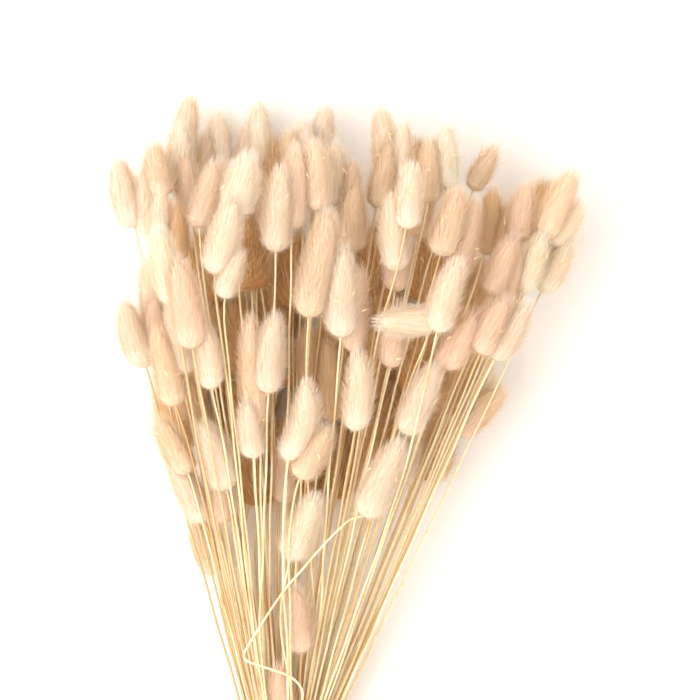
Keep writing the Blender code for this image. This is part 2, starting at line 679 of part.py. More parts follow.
def head_solid(heads, i):
    """A head: rings of points in the valleys between spikelets, and a spikelet's point in each mesh.

    The rings are turned by half a mesh from one to the next, so the meshes are diamonds.
    """
    long = np.linalg.norm(heads.tip[i] - heads.base[i])
    shares = SHORT_RINGS if long < SHORT_HEAD else LONG_RINGS
    sides = HEAD_SIDES
    if i >= len(HEADS):
        shares = HIDDEN_RINGS
        sides = HIDDEN_SIDES
    edge = np.concatenate([[0.0], shares, [1.0]])
    spikes = shares + SPIKE_LEAN * (edge[2:] - edge[1:-1])
    middles = heads.along(edge)[i]
    peaks = heads.along(spikes)[i]
    way = (heads.tip[i] - heads.base[i]) / long
    aside = np.array([-way[1], way[0], 0.0])
    aside /= np.linalg.norm(aside)
    up = np.cross(way, aside)
    points = [middles[0], middles[-1]]
    count = len(shares)
    turns = (np.arange(sides) + TURN_EACH * i) * 2 * np.pi / sides
    half = np.pi / sides
    for k in range(count):
        radius = heads.radius[i] * VALLEY * girth(shares[k])
        for turn in turns + half * (k % 2):
            points.append(middles[k + 1] + radius * (aside * math.cos(turn) + up * math.sin(turn)))
    faces = []
    for k in range(count):
        radius = heads.radius[i] * girth(spikes[k])
        for j in range(sides):
            turn = turns[j] + half * (k % 2) + half
            points.append(peaks[k] + radius * (aside * math.cos(turn) + up * math.sin(turn)))
            left = 2 + k * sides + j
            right = 2 + k * sides + (j + 1) % sides
            beside = (j + 1) % sides if k % 2 else j
            below = 0 if k == 0 else 2 + (k - 1) * sides + beside
            above = 1 if k == count - 1 else 2 + (k + 1) * sides + beside
            peak = len(points) - 1
            for a, b in ((below, right), (right, above), (above, left), (left, below)):
                faces.append((a, b, peak))
    return solid("head", np.array(points), faces)


def bent_stalk_points(heads, knots, foot):
    """Points of the bent stalk: over everything on its way, and tight like a string between them."""
    way = heads.base[BENT_HEAD] - heads.tip[BENT_HEAD]
    start = heads.base[BENT_HEAD] + way / np.linalg.norm(way) * STALK_GAP
    end_y = TIE[1] + CORE_LENGTH / 2 + CORE_ROOM
    shift = start[:2] - place(*HEADS[BENT_HEAD].base)
    fade = np.linspace(1, 0, len(BENT_WAY))[:, None]
    corners = np.array([place(*spot) for spot in BENT_WAY]) + shift * fade
    corners = np.vstack([start[:2], corners, [TIE[0] + foot[0], end_y]])
    long = np.concatenate([[0], np.cumsum(np.linalg.norm(np.diff(corners, axis=0), axis=1))])
    fine = np.arange(0, long[-1], BENT_STEP)
    line = np.column_stack([np.interp(fine, long, corners[:, k]) for k in range(2)])
    shares = np.linspace(0.0, 1.0, 24)
    balls = heads.along(shares).reshape(-1, 3)
    ball_r = (heads.radius[:, None] * girth(shares)[None]).ravel()
    others = np.arange(heads.count) != BENT_HEAD
    share = np.linspace(0, 1, 12)[:, None]
    thin = [knots[others, k, None] * (1 - share) + knots[others, k + 1, None] * share for k in range(6)]
    thin = np.concatenate(thin).reshape(-1, 3)
    balls = np.vstack([balls, thin])
    ball_r = np.concatenate([ball_r, np.full(len(thin), STALK_FOOT)])
    own = np.repeat(np.arange(heads.count) == BENT_HEAD, len(shares))
    own = np.concatenate([own, np.zeros(len(thin), bool)])
    room = np.minimum(BENT_ROOM_FOOT + (long[-1] - fine) * BENT_ROOM_GAIN, BENT_ROOM)
    apart = np.linalg.norm(line[:, None] - balls[None, :, :2], axis=2)
    reach = ball_r[None] + room[:, None]
    near = (apart < reach) & ~own[None]
    rise = np.sqrt(np.maximum(reach**2 - apart**2, 0.0))
    need = np.where(near, balls[None, :, 2] + rise, -1.0).max(1)
    need[fine < BENT_START] = -1.0
    need[0] = start[2]
    spots = np.append(fine, long[-1])
    need = np.append(need, TIE_AXIS_Z + foot[1])
    hull = [0]
    for k in range(1, len(spots)):
        if need[k] < 0:
            continue
        while len(hull) > 1:
            a, b = hull[-2], hull[-1]
            slope = (need[b] - need[a]) * (spots[k] - spots[a])
            if slope > (need[k] - need[a]) * (spots[b] - spots[a]):
                break
            hull.pop()
        hull.append(k)
    stops = np.unique(np.concatenate([long, spots[hull]]))
    stops = stops[np.concatenate([[True], np.diff(stops) > BENT_SPACING])]
    stops[-1] = long[-1]
    flat = [np.interp(stops, long, corners[:, k]) for k in range(2)]
    return np.column_stack(flat + [np.interp(stops, spots[hull], need[hull])])


def without_idle(line):
    """The points of a line, without those that lie nearly on the straight between the kept ones."""
    kept = [0]
    while kept[-1] < len(line) - 1:
        first = kept[-1]
        last = first + 1
        while last < len(line) - 1:
            way = line[last + 1] - line[first]
            between = line[first + 1 : last + 1] - line[first]
            off = np.cross(between, way / np.linalg.norm(way))
            if np.linalg.norm(off, axis=1).max() > STRAIGHT_SLACK:
                break
            last += 1
        kept.append(last)
    return line[kept]


def stalk_solids(heads, group, cells, feet, knots):
    """For each group its stalks with the core that holds them together in the tie."""
    rng = np.random.default_rng(SEED + 1)
    ends = place(0, CUT_ROW)[1] + rng.uniform(-CUT_UNEVEN, CUT_UNEVEN, heads.count)
    core_y = TIE[1] + np.array([1.0, -1.0]) * CORE_LENGTH / 2
    done = []
    for k in range(GROUPS):
        middle = np.array([TIE[0] + cells[k, 0], 0.0, TIE_AXIS_Z + cells[k, 1]])
        core = np.array([middle, middle])
        core[:, 1] = core_y
        down = np.array([[0.0, -1.0, 0.0]])
        wide = CELL_INNER / math.cos(math.pi / 6)
        parts = [tube("core", core, [wide, wide], 6, down.repeat(2, 0), math.pi / 6)]
        for i in np.flatnonzero(group == k):
            foot = np.array([TIE[0] + feet[i, 0], core_y[1] - CORE_ROOM, TIE_AXIS_Z + feet[i, 1]])
            cut = np.array([TIE[0] + feet[i, 0] * SPLAY, ends[i], TIE_AXIS_Z + feet[i, 1] * SPLAY])
            line = without_idle(knots[i])
            ways = down.repeat(len(line), 0)
            if i == BENT_HEAD:
                line = bent_stalk_points(heads, knots, feet[i])
                steps = np.diff(line, axis=0)
                steps /= np.linalg.norm(steps, axis=1)[:, None]
                ways = np.vstack([steps[:1], steps[1:] + steps[:-1], down])
            line = np.vstack([line, foot, cut])
            ways = np.vstack([ways, down, down])
            radii = np.interp(line[:, 1], [TIE[1], heads.base[i, 1]], [STALK_FOOT, STALK_TOP])
            parts.append(tube("stalk", line, radii, STALK_SIDES, ways, math.pi / 2))
        done.append(fuse(parts))
    return done


def tie_solid():
    """Four turns of twine side by side, with a flat knot on top and its two tails."""
    outline = [(-TIE_TURNS / 2, 0.0), (-TIE_TURNS / 2, TWINE_VALLEY)]
    for k in range(TIE_TURNS):
        left = k - TIE_TURNS / 2
        outline += [(left + 0.5, 1.0), (left + 1.0, TWINE_VALLEY)]
    outline.append((TIE_TURNS / 2, 0.0))
    outline = np.array(outline) * TWINE
    turns = np.arange(TIE_SIDES) * 2 * np.pi / TIE_SIDES
    points = []
    faces = []
    count = len(outline)
    for k, turn in enumerate(turns):
        for along, out in outline:
            radius = TIE_BORE / math.cos(math.pi / TIE_SIDES) + out
            x = TIE[0] + radius * math.cos(turn)
            points.append((x, TIE[1] + along, TIE_AXIS_Z + radius * math.sin(turn)))
        for j in range(count):
            a = k * count + j
            b = k * count + (j + 1) % count
            size = len(turns) * count
            faces.append((a, (a + count) % size, (b + count) % size, b))
    ring = solid("tie", np.array(points), faces)
    top = np.array([TIE[0], TIE[1], TIE_AXIS_Z + TIE_BORE + TWINE])
    parts = [ring]
    knot = top + np.column_stack([KNOT_ALONG, np.zeros(5), np.full(5, KNOT_LIFT)])
    ways = np.array([[1.0, 0.0, 0.0]]).repeat(5, 0)
    parts.append(tube("knot", knot, KNOT_RADII, KNOT_SIDES, ways))
    for side in (-1, 1):
        u = np.linspace(0.0, 1.0, TAIL_RINGS)
        x = side * (TAIL_START[0] + TAIL_LENGTH * TAIL_OUT * u)
        y = side * (TAIL_START[1] + TAIL_RISE * u**1.5)
        z = TAIL_START[2] + TAIL_RISE * u - TAIL_LENGTH * TAIL_FALL * u**2
        tail = np.column_stack([x, y, z]) + top
        ways = np.gradient(tail, axis=0)
        radii = np.full(TAIL_RINGS, TWINE / 2)
        parts.append(tube("tail", tail, radii, TAIL_SIDES, ways, TAIL_TURN))
    return fuse(parts)


def material(name, colour, roughness):
    """A plain dry surface of one colour."""
    made = bpy.data.materials.new(name)
    made.use_nodes = True
    shader = made.node_tree.nodes["Principled BSDF"]
    shader.inputs["Base Color"].default_value = (*colour, 1.0)
    shader.inputs["Roughness"].default_value = roughness
    made.diffuse_color = (*colour, 1.0)
    return made


def finish(thing, name, surface):
    thing.name = name
    thing.data.name = name
    thing.data.materials.clear()
    thing.data.materials.append(surface)
    return thing


def main():
    for thing in list(bpy.data.objects):
        bpy.data.objects.remove(thing, do_unlink=True)
    heads = Heads()
    nodes = settle_heads(heads)
    group, cells, feet = group_stalks(heads)
    knots = settle_stalks(heads, nodes, group, feet)
    tones = {tone: material("panicle_" + tone, colour, 0.9) for tone, colour in TONES.items()}
    straw = material("straw", STRAW, 0.7)
    twine = material("twine", JUTE, 0.9)
    done = []
    for k, members in enumerate(nodes):
        fused = fuse([head_solid(heads, i) for i in members])
        done.append(finish(fused, f"heads_{k + 1:02d}", tones[heads.tones[members[0]]]))
    for k, fused in enumerate(stalk_solids(heads, group, cells, feet, knots)):
        done.append(finish(fused, f"stalks_{k + 1}", straw))
    done.append(finish(tie_solid(), "tie", twine))
    places = [np.empty(len(thing.data.vertices) * 3) for thing in done]
    for thing, flat in zip(done, places):
        thing.data.vertices.foreach_get("co", flat)
    every = np.concatenate(places).reshape(-1, 3)
    low, high = every.min(0), every.max(0)
    shift = np.array([(low[0] + high[0]) / 2, (low[1] + high[1]) / 2, low[2]])
    for thing, flat in zip(done, places):
        thing.data.vertices.foreach_set("co", (flat.reshape(-1, 3) - shift).ravel())
        thing.data.update()


if __name__ == "__main__":
    main()
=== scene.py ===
# %% [markdown]
# # A bunch of dried bunny tail grass
#
# Bunny tail grass (Lagurus ovatus) ends in one soft egg-shaped head of hairy spikelets on a thin
# stalk. Here 119 of them are tied with twine and lie on a surface, and the camera looks straight down,
# so the bunch stands in the picture as it does in the photograph. The solids of the model already
# hold every head and stalk in its place. This script dresses them: it works out the same places again
# from the same rule, and grows real hairs, round stalks and laid twine there.

# %% The frame
import math
from collections import namedtuple

import bpy
import numpy as np
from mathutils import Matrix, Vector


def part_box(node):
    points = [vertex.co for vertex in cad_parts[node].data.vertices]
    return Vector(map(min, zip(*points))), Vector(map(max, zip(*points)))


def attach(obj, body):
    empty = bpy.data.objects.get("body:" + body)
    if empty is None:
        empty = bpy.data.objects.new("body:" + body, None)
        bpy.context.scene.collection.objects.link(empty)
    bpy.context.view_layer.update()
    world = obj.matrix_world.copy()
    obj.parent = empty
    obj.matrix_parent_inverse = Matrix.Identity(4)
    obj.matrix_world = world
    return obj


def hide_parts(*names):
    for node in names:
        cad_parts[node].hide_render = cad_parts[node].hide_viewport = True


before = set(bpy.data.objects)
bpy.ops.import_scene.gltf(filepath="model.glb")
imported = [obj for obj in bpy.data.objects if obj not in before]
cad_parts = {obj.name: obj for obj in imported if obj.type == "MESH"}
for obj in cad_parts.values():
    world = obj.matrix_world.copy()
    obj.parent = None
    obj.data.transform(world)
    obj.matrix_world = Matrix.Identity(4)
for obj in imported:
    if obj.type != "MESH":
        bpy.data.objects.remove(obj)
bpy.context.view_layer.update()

# %% [markdown]
# ## Where the heads are
#
# One row is one head as the photograph shows it from in front: its tip and its base, its thickness,
# the layer it lies in, its tone, and how far it bows. A step is 0.55 mm, which makes the heads as long
# as the ones sold dried. Rows are a good way to hold what was looked at, because each one can be
# checked against the photograph by itself.

# %% Sizes of the bunch
STEP = 0.00055
MIDDLE_X, MIDDLE_Y = 345.0, 525.0
TIE_PLACE, TIE_AXIS_Z = (283.0, 815.0), 0.0139
SEED = 11
Head = namedtuple("Head", "tip base thick layer tone bow", defaults=(0.0,))
print("a head of 72 steps in mm", round(72 * STEP * 1000, 1))

# %% The heads in the photograph
# A row: its tip's x and y, its base's x and y, its thickness, its layer, its tone, and a strong bow
ROWS = (
    (108, 153, 126, 228, 31, 2, "cream"), (195, 90, 184, 168, 27, 2, "tan"),
    (178, 118, 172, 190, 28, 2, "cream"), (163, 141, 172, 195, 29, 1, "tan"),
    (147, 163, 148, 236, 24, 2, "cream"), (157, 184, 153, 250, 24, 1, "cream"),
    (149, 221, 166, 303, 31, 0, "cream"), (180, 148, 186, 215, 25, 2, "pink"),
    (214, 158, 196, 228, 27, 1, "pink"), (176, 200, 178, 262, 28, 2, "tan"),
    (236, 160, 209, 222, 28, 2, "pink"), (256, 147, 241, 210, 34, 0, "cream"),
    (226, 196, 205, 277, 33, 0, "cream"), (222, 108, 226, 170, 26, 3, "cream"),
    (206, 128, 200, 190, 26, 3, "beige"), (259, 90, 262, 165, 27, 3, "cream"),
    (246, 115, 240, 180, 24, 3, "pink"), (279, 163, 273, 253, 31, 0, "cream"),
    (297, 138, 293, 231, 28, 1, "pink"), (267, 150, 252, 228, 26, 2, "pink"),
    (252, 212, 251, 278, 26, 1, "pink"), (285, 127, 300, 195, 26, 3, "tan"),
    (297, 121, 308, 185, 26, 3, "cream"), (335, 94, 322, 165, 27, 3, "cream"),
    (316, 140, 318, 211, 32, 1, "beige"), (333, 138, 332, 205, 24, 2, "cream"),
    (350, 147, 348, 215, 26, 2, "pink"), (371, 99, 379, 172, 27, 2, "beige"),
    (393, 140, 378, 212, 28, 2, "tan"), (411, 117, 409, 180, 22, 2, "cream"),
    (412, 150, 407, 217, 27, 0, "cream"), (381, 195, 385, 276, 28, 0, "cream"),
    (360, 190, 358, 262, 30, 2, "beige"), (329, 205, 307, 318, 37, 0, "beige"),
    (343, 243, 341, 338, 33, 0, "cream"), (361, 262, 353, 352, 27, 1, "pink"),
    (431, 133, 430, 200, 26, 2, "tan"), (448, 120, 449, 189, 26, 1, "cream"),
    (456, 186, 438, 256, 33, 0, "beige"), (478, 195, 457, 283, 28, 1, "pink"),
    (462, 258, 438, 332, 30, 0, "cream"), (412, 226, 406, 302, 26, 1, "pink"),
    (421, 178, 417, 242, 28, 2, "tan"), (497, 144, 472, 190, 22, 2, "tan"),
    (491, 185, 484, 255, 26, 2, "tan"), (512, 200, 500, 264, 26, 2, "tan"),
    (511, 236, 489, 296, 27, 0, "pink"), (531, 182, 520, 242, 28, 1, "pink"),
    (573, 165, 541, 236, 29, 0, "beige"), (589, 194, 557, 240, 26, 1, "cream"),
    (545, 232, 521, 292, 28, 1, "cream"), (567, 242, 537, 300, 28, 2, "cream"),
    (526, 245, 503, 315, 26, 2, "pink"), (514, 295, 485, 353, 33, 0, "pink"),
    (536, 302, 500, 362, 29, 1, "cream"), (465, 308, 431, 366, 31, 0, "pink"),
    (438, 360, 405, 435, 30, 0, "cream"), (402, 437, 365, 517, 33, 0, "cream"),
    (402, 300, 390, 367, 27, 1, "pink"), (373, 322, 434, 319, 30, 0, "cream"),
    (508, 392, 458, 440, 30, 1, "beige"), (500, 360, 464, 412, 27, 2, "cream"),
    (452, 425, 431, 482, 28, 2, "beige"), (421, 432, 406, 486, 26, 2, "cream"),
    (180, 247, 198, 342, 34, 0, "pink"), (141, 248, 152, 332, 26, 2, "cream"),
    (121, 297, 144, 368, 31, 1, "cream"), (152, 330, 171, 410, 30, 0, "beige"),
    (173, 300, 191, 371, 30, 1, "cream"), (162, 296, 165, 365, 26, 2, "pink"),
    (206, 325, 218, 398, 27, 0, "cream"), (246, 302, 254, 422, 28, 0, "beige"),
    (246, 255, 225, 303, 24, 0, "cream"), (288, 310, 278, 393, 30, 0, "cream"),
    (300, 373, 284, 458, 30, 0, "cream", 11.0), (333, 428, 302, 480, 30, 0, "beige"),
    (317, 493, 289, 560, 31, 0, "cream"), (280, 440, 285, 505, 26, 2, "pink"),
    (243, 402, 249, 464, 26, 1, "cream"), (322, 338, 330, 425, 30, 2, "tan"),
    (306, 325, 312, 392, 28, 2, "tan"), (357, 345, 355, 431, 28, 0, "cream"),
    (193, 418, 220, 487, 33, 0, "cream"), (172, 461, 208, 533, 30, 0, "cream"),
    (192, 520, 214, 577, 26, 2, "beige"), (154, 405, 186, 464, 28, 1, "beige"),
    (223, 470, 231, 528, 24, 1, "pink"), (190, 378, 207, 440, 26, 2, "tan"),
    (296, 585, 301, 654, 29, 0, "pink"), (278, 664, 286, 732, 26, 0, "pink"),
)
HEADS = [Head(row[:2], row[2:4], *row[4:]) for row in ROWS]

# The one bent stalk, which lies across the others: its way from its head's base, in steps
BENT_HEAD = 57
BENT_WAY = ((352, 516), (335, 533), (321, 547), (287, 586), (263, 622), (243, 653), (242, 660),
            (266, 668), (287, 675), (297, 682), (303, 692))

print("rows", len(HEADS))

# %% [markdown]
# ## One head as numbers
#
# A head is a line from its base to its tip with a thickness that swells and closes again. A power of
# the share from the base, times a power of the share from the tip, gives that egg shape with blunt
# ends. Seen from the side the whole bunch is a fan that closes in a dome, so a head's height comes
# from the height of the fan over its place, less one step down for each layer.

# %% Shape of a head and of the fan
BASE_POWER, TIP_POWER = 0.33, 0.50
FAN_HIGH, FAN_WIDE, FAN_LEAN, FAN_FOOT = 0.17, 0.443, 0.12, 0.012
DOME_START, DOME_LENGTH = 0.283, 0.125
EDGE_HIGH = 0.04


def place(x, y):
    """Metres for a place in steps: its distance from the middle times a step, with Y upwards."""
    return np.array([(x - MIDDLE_X) * STEP, (MIDDLE_Y - y) * STEP])


TIE = place(*TIE_PLACE)


def unit(ways):
    """Ways divided by their own lengths."""
    return ways / np.linalg.norm(ways, axis=-1, keepdims=True)


def girth(s):
    """Radius along a head as a share of its largest: s to one power times (1 - s) to another."""
    s = np.clip(s, 0.0, 1.0)
    fullest = BASE_POWER / (BASE_POWER + TIP_POWER)
    most = fullest**BASE_POWER * (1 - fullest) ** TIP_POWER
    return s**BASE_POWER * (1 - s) ** TIP_POWER / most


def fan_at(x, y):
    """Distance from the tie, half the fan's height there, and the place across as a share of its half."""
    away = y - TIE[1]
    half_high = FAN_FOOT + FAN_HIGH * np.minimum(away, DOME_START)
    half_wide = FAN_FOOT + FAN_WIDE * away
    return away, half_high, (x - TIE[0] - FAN_LEAN * away) / half_wide


def fan_top(x, y):
    """Highest level over a place: an ellipse across that grows away from the tie, then a dome."""
    away, half_high, across = fan_at(x, y)
    past = np.clip((away - DOME_START) / DOME_LENGTH, 0.0, 1.0)
    return half_high * (1 + np.sqrt(np.maximum(1 - across**2 - past**2, EDGE_HIGH)))


print("thickest at this share of a head", round(BASE_POWER / (BASE_POWER + TIP_POWER), 2))

# %% [markdown]
# ## The heads under the others
#
# Between the heads the photograph shows brown depth, where more heads lie. They can't be measured, so
# the places where that depth shows are listed, and each gets a head, a little over average size, that
# points away from the tie and starts one or two layers below all others. Without them the floor would
# show there.

# %% Heads that fill the depth
HIDDEN_HEADS = ((388, 408), (268, 300), (340, 462), (460, 378), (226, 402), (220, 312), (478, 294),
                (250, 468), (292, 270), (382, 318), (268, 378), (364, 450), (418, 354), (172, 414),
                (430, 264), (430, 444), (538, 216), (376, 370), (334, 348), (200, 262), (310, 456),
                (274, 178), (292, 354), (238, 336), (274, 456), (370, 258), (184, 384), (244, 264),
                (412, 174))
HIDDEN_HALF, HIDDEN_THICK = 40.0, 33.0
HIDDEN_LAYERS, HIDDEN_TONES = (4, 5), ("beige", "tan", "cream")


def hidden_heads():
    """Heads under the others, each pointing away from the tie: half its length to either side."""
    found = []
    for i, (x, y) in enumerate(HIDDEN_HEADS):
        way = np.array([x - TIE_PLACE[0], y - TIE_PLACE[1]])
        way *= HIDDEN_HALF / np.hypot(*way)
        tip = (x + way[0], y + way[1])
        base = (x - way[0], y - way[1])
        layer = HIDDEN_LAYERS[i % len(HIDDEN_LAYERS)]
        found.append(Head(tip, base, HIDDEN_THICK, layer, HIDDEN_TONES[i % len(HIDDEN_TONES)]))
    return found


print("heads under the others", len(hidden_heads()))

# %% [markdown]
# ## All heads as arrays
#
# From here on the heads are columns of numbers, because pushing a hundred of them apart is quick when
# numpy moves all at once. A head tilts up as steeply as the line from the tie to it, give or take a
# little, and bows sideways by a seeded chance, as no two grow alike.

# %% Places, sizes and bows of all heads
LAYER_STEP, FLOOR_ROOM = 0.022, 0.001
BOW_RANGE, TILT_RANGE, STEEPEST = 3.0, 0.06, 0.4


class Heads:
    """Arrays for all heads: base, tip, radius, sideways bow, and points along each axis."""

    def __init__(self):
        rng = np.random.default_rng(SEED)
        rows = HEADS + hidden_heads()
        self.tones = [row.tone for row in rows]
        self.count = len(rows)
        base = np.array([place(*row.base) for row in rows])
        tip = np.array([place(*row.tip) for row in rows])
        layer = np.array([row.layer for row in rows])
        self.radius = np.array([row.thick for row in rows]) * STEP / 2
        self.bow = np.array([row.bow for row in rows])
        self.bow += rng.uniform(-BOW_RANGE, BOW_RANGE, self.count)
        self.bow *= STEP
        middle = (base + tip) / 2
        top = fan_top(middle[:, 0], middle[:, 1])
        level = np.maximum(top - self.radius - layer * LAYER_STEP, self.radius + FLOOR_ROOM)
        away = np.linalg.norm(middle - TIE, axis=1)
        rise = np.clip((level - TIE_AXIS_Z) / away, 0.0, STEEPEST)
        rise += rng.uniform(-TILT_RANGE, TILT_RANGE, self.count)
        lift = rise * np.linalg.norm(tip - base, axis=1) / 2
        self.base = np.column_stack([base, level - lift])
        self.tip = np.column_stack([tip, level + lift])

    def along(self, s):
        """Points on the axes at the shares s: straight, plus a sideways bow that is a parabola."""
        way = self.tip - self.base
        side = unit(np.column_stack([-way[:, 1], way[:, 0], np.zeros(self.count)]))
        line = self.base[:, None] + way[:, None] * s[None, :, None]
        bend = -4 * s * (1 - s) * (s > 0) * (s < 1)
        return line + side[:, None] * (self.bow[:, None] * bend[None])[:, :, None]

    def move(self, by):
        """Moves each head by its own row of three lengths."""
        self.base = self.base + by
        self.tip = self.tip + by


heads = Heads()
print("heads", heads.count)

# %% [markdown]
# ## Settling the heads
#
# Two heads can't be in one place, and the photograph doesn't say how deep each one lies. So the heads
# start at the height of their layer and push each other apart, mostly up and down, which keeps them
# where the photograph has them. Two or three that end up touching share one solid of the model. This
# is the very rule that placed the solids, with the same numbers, and it draws no new chance.

# %% Which heads are too close
TINY = 1e-9
HEAD_NODES, MOST_IN_NODE, PAIR_REACH = 52, 3, 0.03


def near_pairs(heads):
    """Pairs of heads that could touch: closer from above than half of both lengths and 3 cm."""
    i, j = np.triu_indices(heads.count, 1)
    middle = (heads.base + heads.tip)[:, :2] / 2
    long = np.linalg.norm(heads.tip - heads.base, axis=1)
    apart = np.linalg.norm(middle[i] - middle[j], axis=1)
    near = apart < (long[i] + long[j]) / 2 + PAIR_REACH
    return i[near], j[near]


def shortfalls(points, radii, i, j, clear):
    """How far each pair of heads is short of its clearance, and the way to push the first one."""
    between = points[i][:, :, None] - points[j][:, None]
    apart = np.sqrt((between**2).sum(-1)) + TINY
    short = radii[i][:, :, None] + radii[j][:, None] + clear - apart
    flat = short.reshape(len(i), -1)
    worst = flat.argmax(1)
    rows = np.arange(len(i))
    ways = (between / apart[..., None]).reshape(len(i), -1, 3)[rows, worst]
    return flat[rows, worst], ways


def join_up(heads, short, i, j):
    """Which pairs to join so that HEAD_NODES are left: the closest first, at most three together."""
    node = np.arange(heads.count)
    mates = np.zeros(len(i), bool)
    for k in np.argsort(-short, kind="stable"):
        if len(set(node.tolist())) == HEAD_NODES:
            break
        ours = node == node[i[k]]
        theirs = node == node[j[k]]
        if node[i[k]] != node[j[k]] and (ours | theirs).sum() <= MOST_IN_NODE:
            node[theirs] = node[i[k]]
            mates[k] = True
    return mates, node


print("pairs that could touch", len(near_pairs(heads)[0]))

# %% Push the heads apart
HEAD_CLEAR, HEAD_SINK, MEET_MORE, BESIDE_COST = 0.0012, 0.0050, 0.0010, 2.0
STALK_SHORT, IN_LINE, STALK_ROOM, SETTLE_TURNS = 0.0003, 0.014, 0.0021, 900
GIVE_ACROSS, GIVE_MATES, PUSH, EARLY_TURNS = 0.30, 0.40, 0.5, 0.6
EARLY_PULL, LATE_PULL, PULL_REACH = 0.5, 1.8, 0.004
BACK_ACROSS, BACK_UP, STALK_SHARE = 0.03, 0.005, -0.12
BODY_SHARES = np.linspace(0.06, 0.95, 9)


def settle_heads(heads):
    """Pushes the heads apart, and from a quarter of the turns on draws mates together.

    A head counts as nine balls on its axis and one on its stalk. A push is half of what a pair is
    short, along the line between the two balls that press hardest, and less of it goes sideways than
    up. For the first six tenths of the turns each head is also drawn back a little to its start.
    """
    shares = np.concatenate([[STALK_SHARE], BODY_SHARES])
    radii = heads.radius[:, None] * girth(shares)[None]
    radii[:, 0] = STALK_ROOM
    points = heads.along(shares)
    i, j = near_pairs(heads)
    mates = np.zeros(len(i), bool)
    clear = np.full((len(i), len(shares), len(shares)), HEAD_CLEAR)
    moved = np.zeros((heads.count, 3))
    give = np.array([GIVE_ACROSS, GIVE_ACROSS, 1.0])
    give_mates = np.array([GIVE_MATES, GIVE_MATES, 1.0])
    for turn in range(SETTLE_TURNS):
        now = points + moved[:, None]
        if turn == SETTLE_TURNS // 4:
            short, _ = shortfalls(now[:, 1:], radii[:, 1:], i, j, 0.0)
            flat, _ = shortfalls(now[:, 1:] * (1, 1, 0), radii[:, 1:], i, j, 0.0)
            beside = np.maximum(HEAD_SINK + MEET_MORE - flat, 0.0)
            base, tip = now[:, 1], now[:, -1]
            first = np.linalg.norm(base[i] - tip[j], axis=1)
            second = np.linalg.norm(base[j] - tip[i], axis=1)
            in_line = np.minimum(first, second) < IN_LINE
            mates, node = join_up(heads, short - BESIDE_COST * beside - in_line, i, j)
            together = node[i] == node[j]
            clear[together] = 0.0
            clear[mates, 1:, 1:] = -HEAD_SINK
            clear[together & ~mates, 1:, 1:] = -2 * HEAD_SINK
        short, ways = shortfalls(now, radii, i, j, clear)
        push = (np.maximum(short, 0.0) * PUSH)[:, None] * ways * give
        if mates.any():
            pulled, ways = shortfalls(now[:, 1:], radii[:, 1:], i[mates], j[mates], -HEAD_SINK)
            pull = EARLY_PULL if turn < SETTLE_TURNS * EARLY_TURNS else LATE_PULL
            pull = np.where(short[mates] > STALK_SHORT, 0.0, pull)
            push[mates] += (np.clip(pulled, -PULL_REACH, 0.0) * pull)[:, None] * ways * give_mates
        step = np.zeros((heads.count, 3))
        np.add.at(step, i, push)
        np.add.at(step, j, -push)
        if turn < SETTLE_TURNS * EARLY_TURNS:
            step[:, :2] -= BACK_ACROSS * moved[:, :2]
            step[:, 2] -= BACK_UP * moved[:, 2]
        moved += step
        low = (points[..., 2] + moved[:, None, 2] - radii).min(1)
        moved[:, 2] += np.maximum(-low, 0.0)
    heads.move(moved)
    nodes = [np.flatnonzero(node == k).tolist() for k in sorted(set(node.tolist()))]
    return sorted(nodes, key=lambda members: -heads.tip[members[0], 1])


nodes = settle_heads(heads)
print("heads in a node", [len(members) for members in nodes])

# %% [markdown]
# ## Bringing the stalks down to the tie
#
# Each stalk leaves its head and runs to its own place in the tie. The places are packed like cells of
# a honeycomb, seven groups of seventeen, and a stalk from the left goes to the left. On the way the
# stalks bend round the heads and each other: every few millimetres the push on a stalk is found,
# and its points move, turn after turn, until hardly anything is left to push.

# %% A place in the tie for each stalk
GROUPS, FOOT_PITCH, CELL_PITCH = 7, 0.0016, 0.00745
HEX_TURN, CORNERS_USED = 30, [0, 3, 5, 1]
BENT_SEEN = (-0.2, 3.0)


def by_angle(places, slots):
    """Which slot each place takes: both in order round the middle, turned to match best."""
    order = np.argsort(np.arctan2(places[:, 1], places[:, 0]), kind="stable")
    ring = np.argsort(np.arctan2(slots[:, 1], slots[:, 0]), kind="stable")
    scale = np.linalg.norm(slots, axis=1).mean() / (np.linalg.norm(places, axis=1).mean() + TINY)
    costs = []
    for turn in range(len(ring)):
        miss = places[order] * scale - slots[np.roll(ring, turn)]
        costs.append((miss**2).sum())
    taken = np.empty(len(order), int)
    taken[order] = np.roll(ring, int(np.argmin(costs)))
    return taken


def ring_of(count, distance, first):
    """Places round a middle, at one distance."""
    turn = np.radians(first) + np.arange(count) * 2 * np.pi / count
    return distance * np.column_stack([np.cos(turn), np.sin(turn)])


def foot_slots(size):
    """Places of one group's stalks in the tie: the middle, six round it, six outside, four corners."""
    places = [np.zeros((1, 2)), ring_of(6, FOOT_PITCH, HEX_TURN),
              ring_of(6, FOOT_PITCH * math.sqrt(3), 0),
              ring_of(6, FOOT_PITCH * 2, HEX_TURN)[CORNERS_USED]]
    return np.vstack(places)[:size]


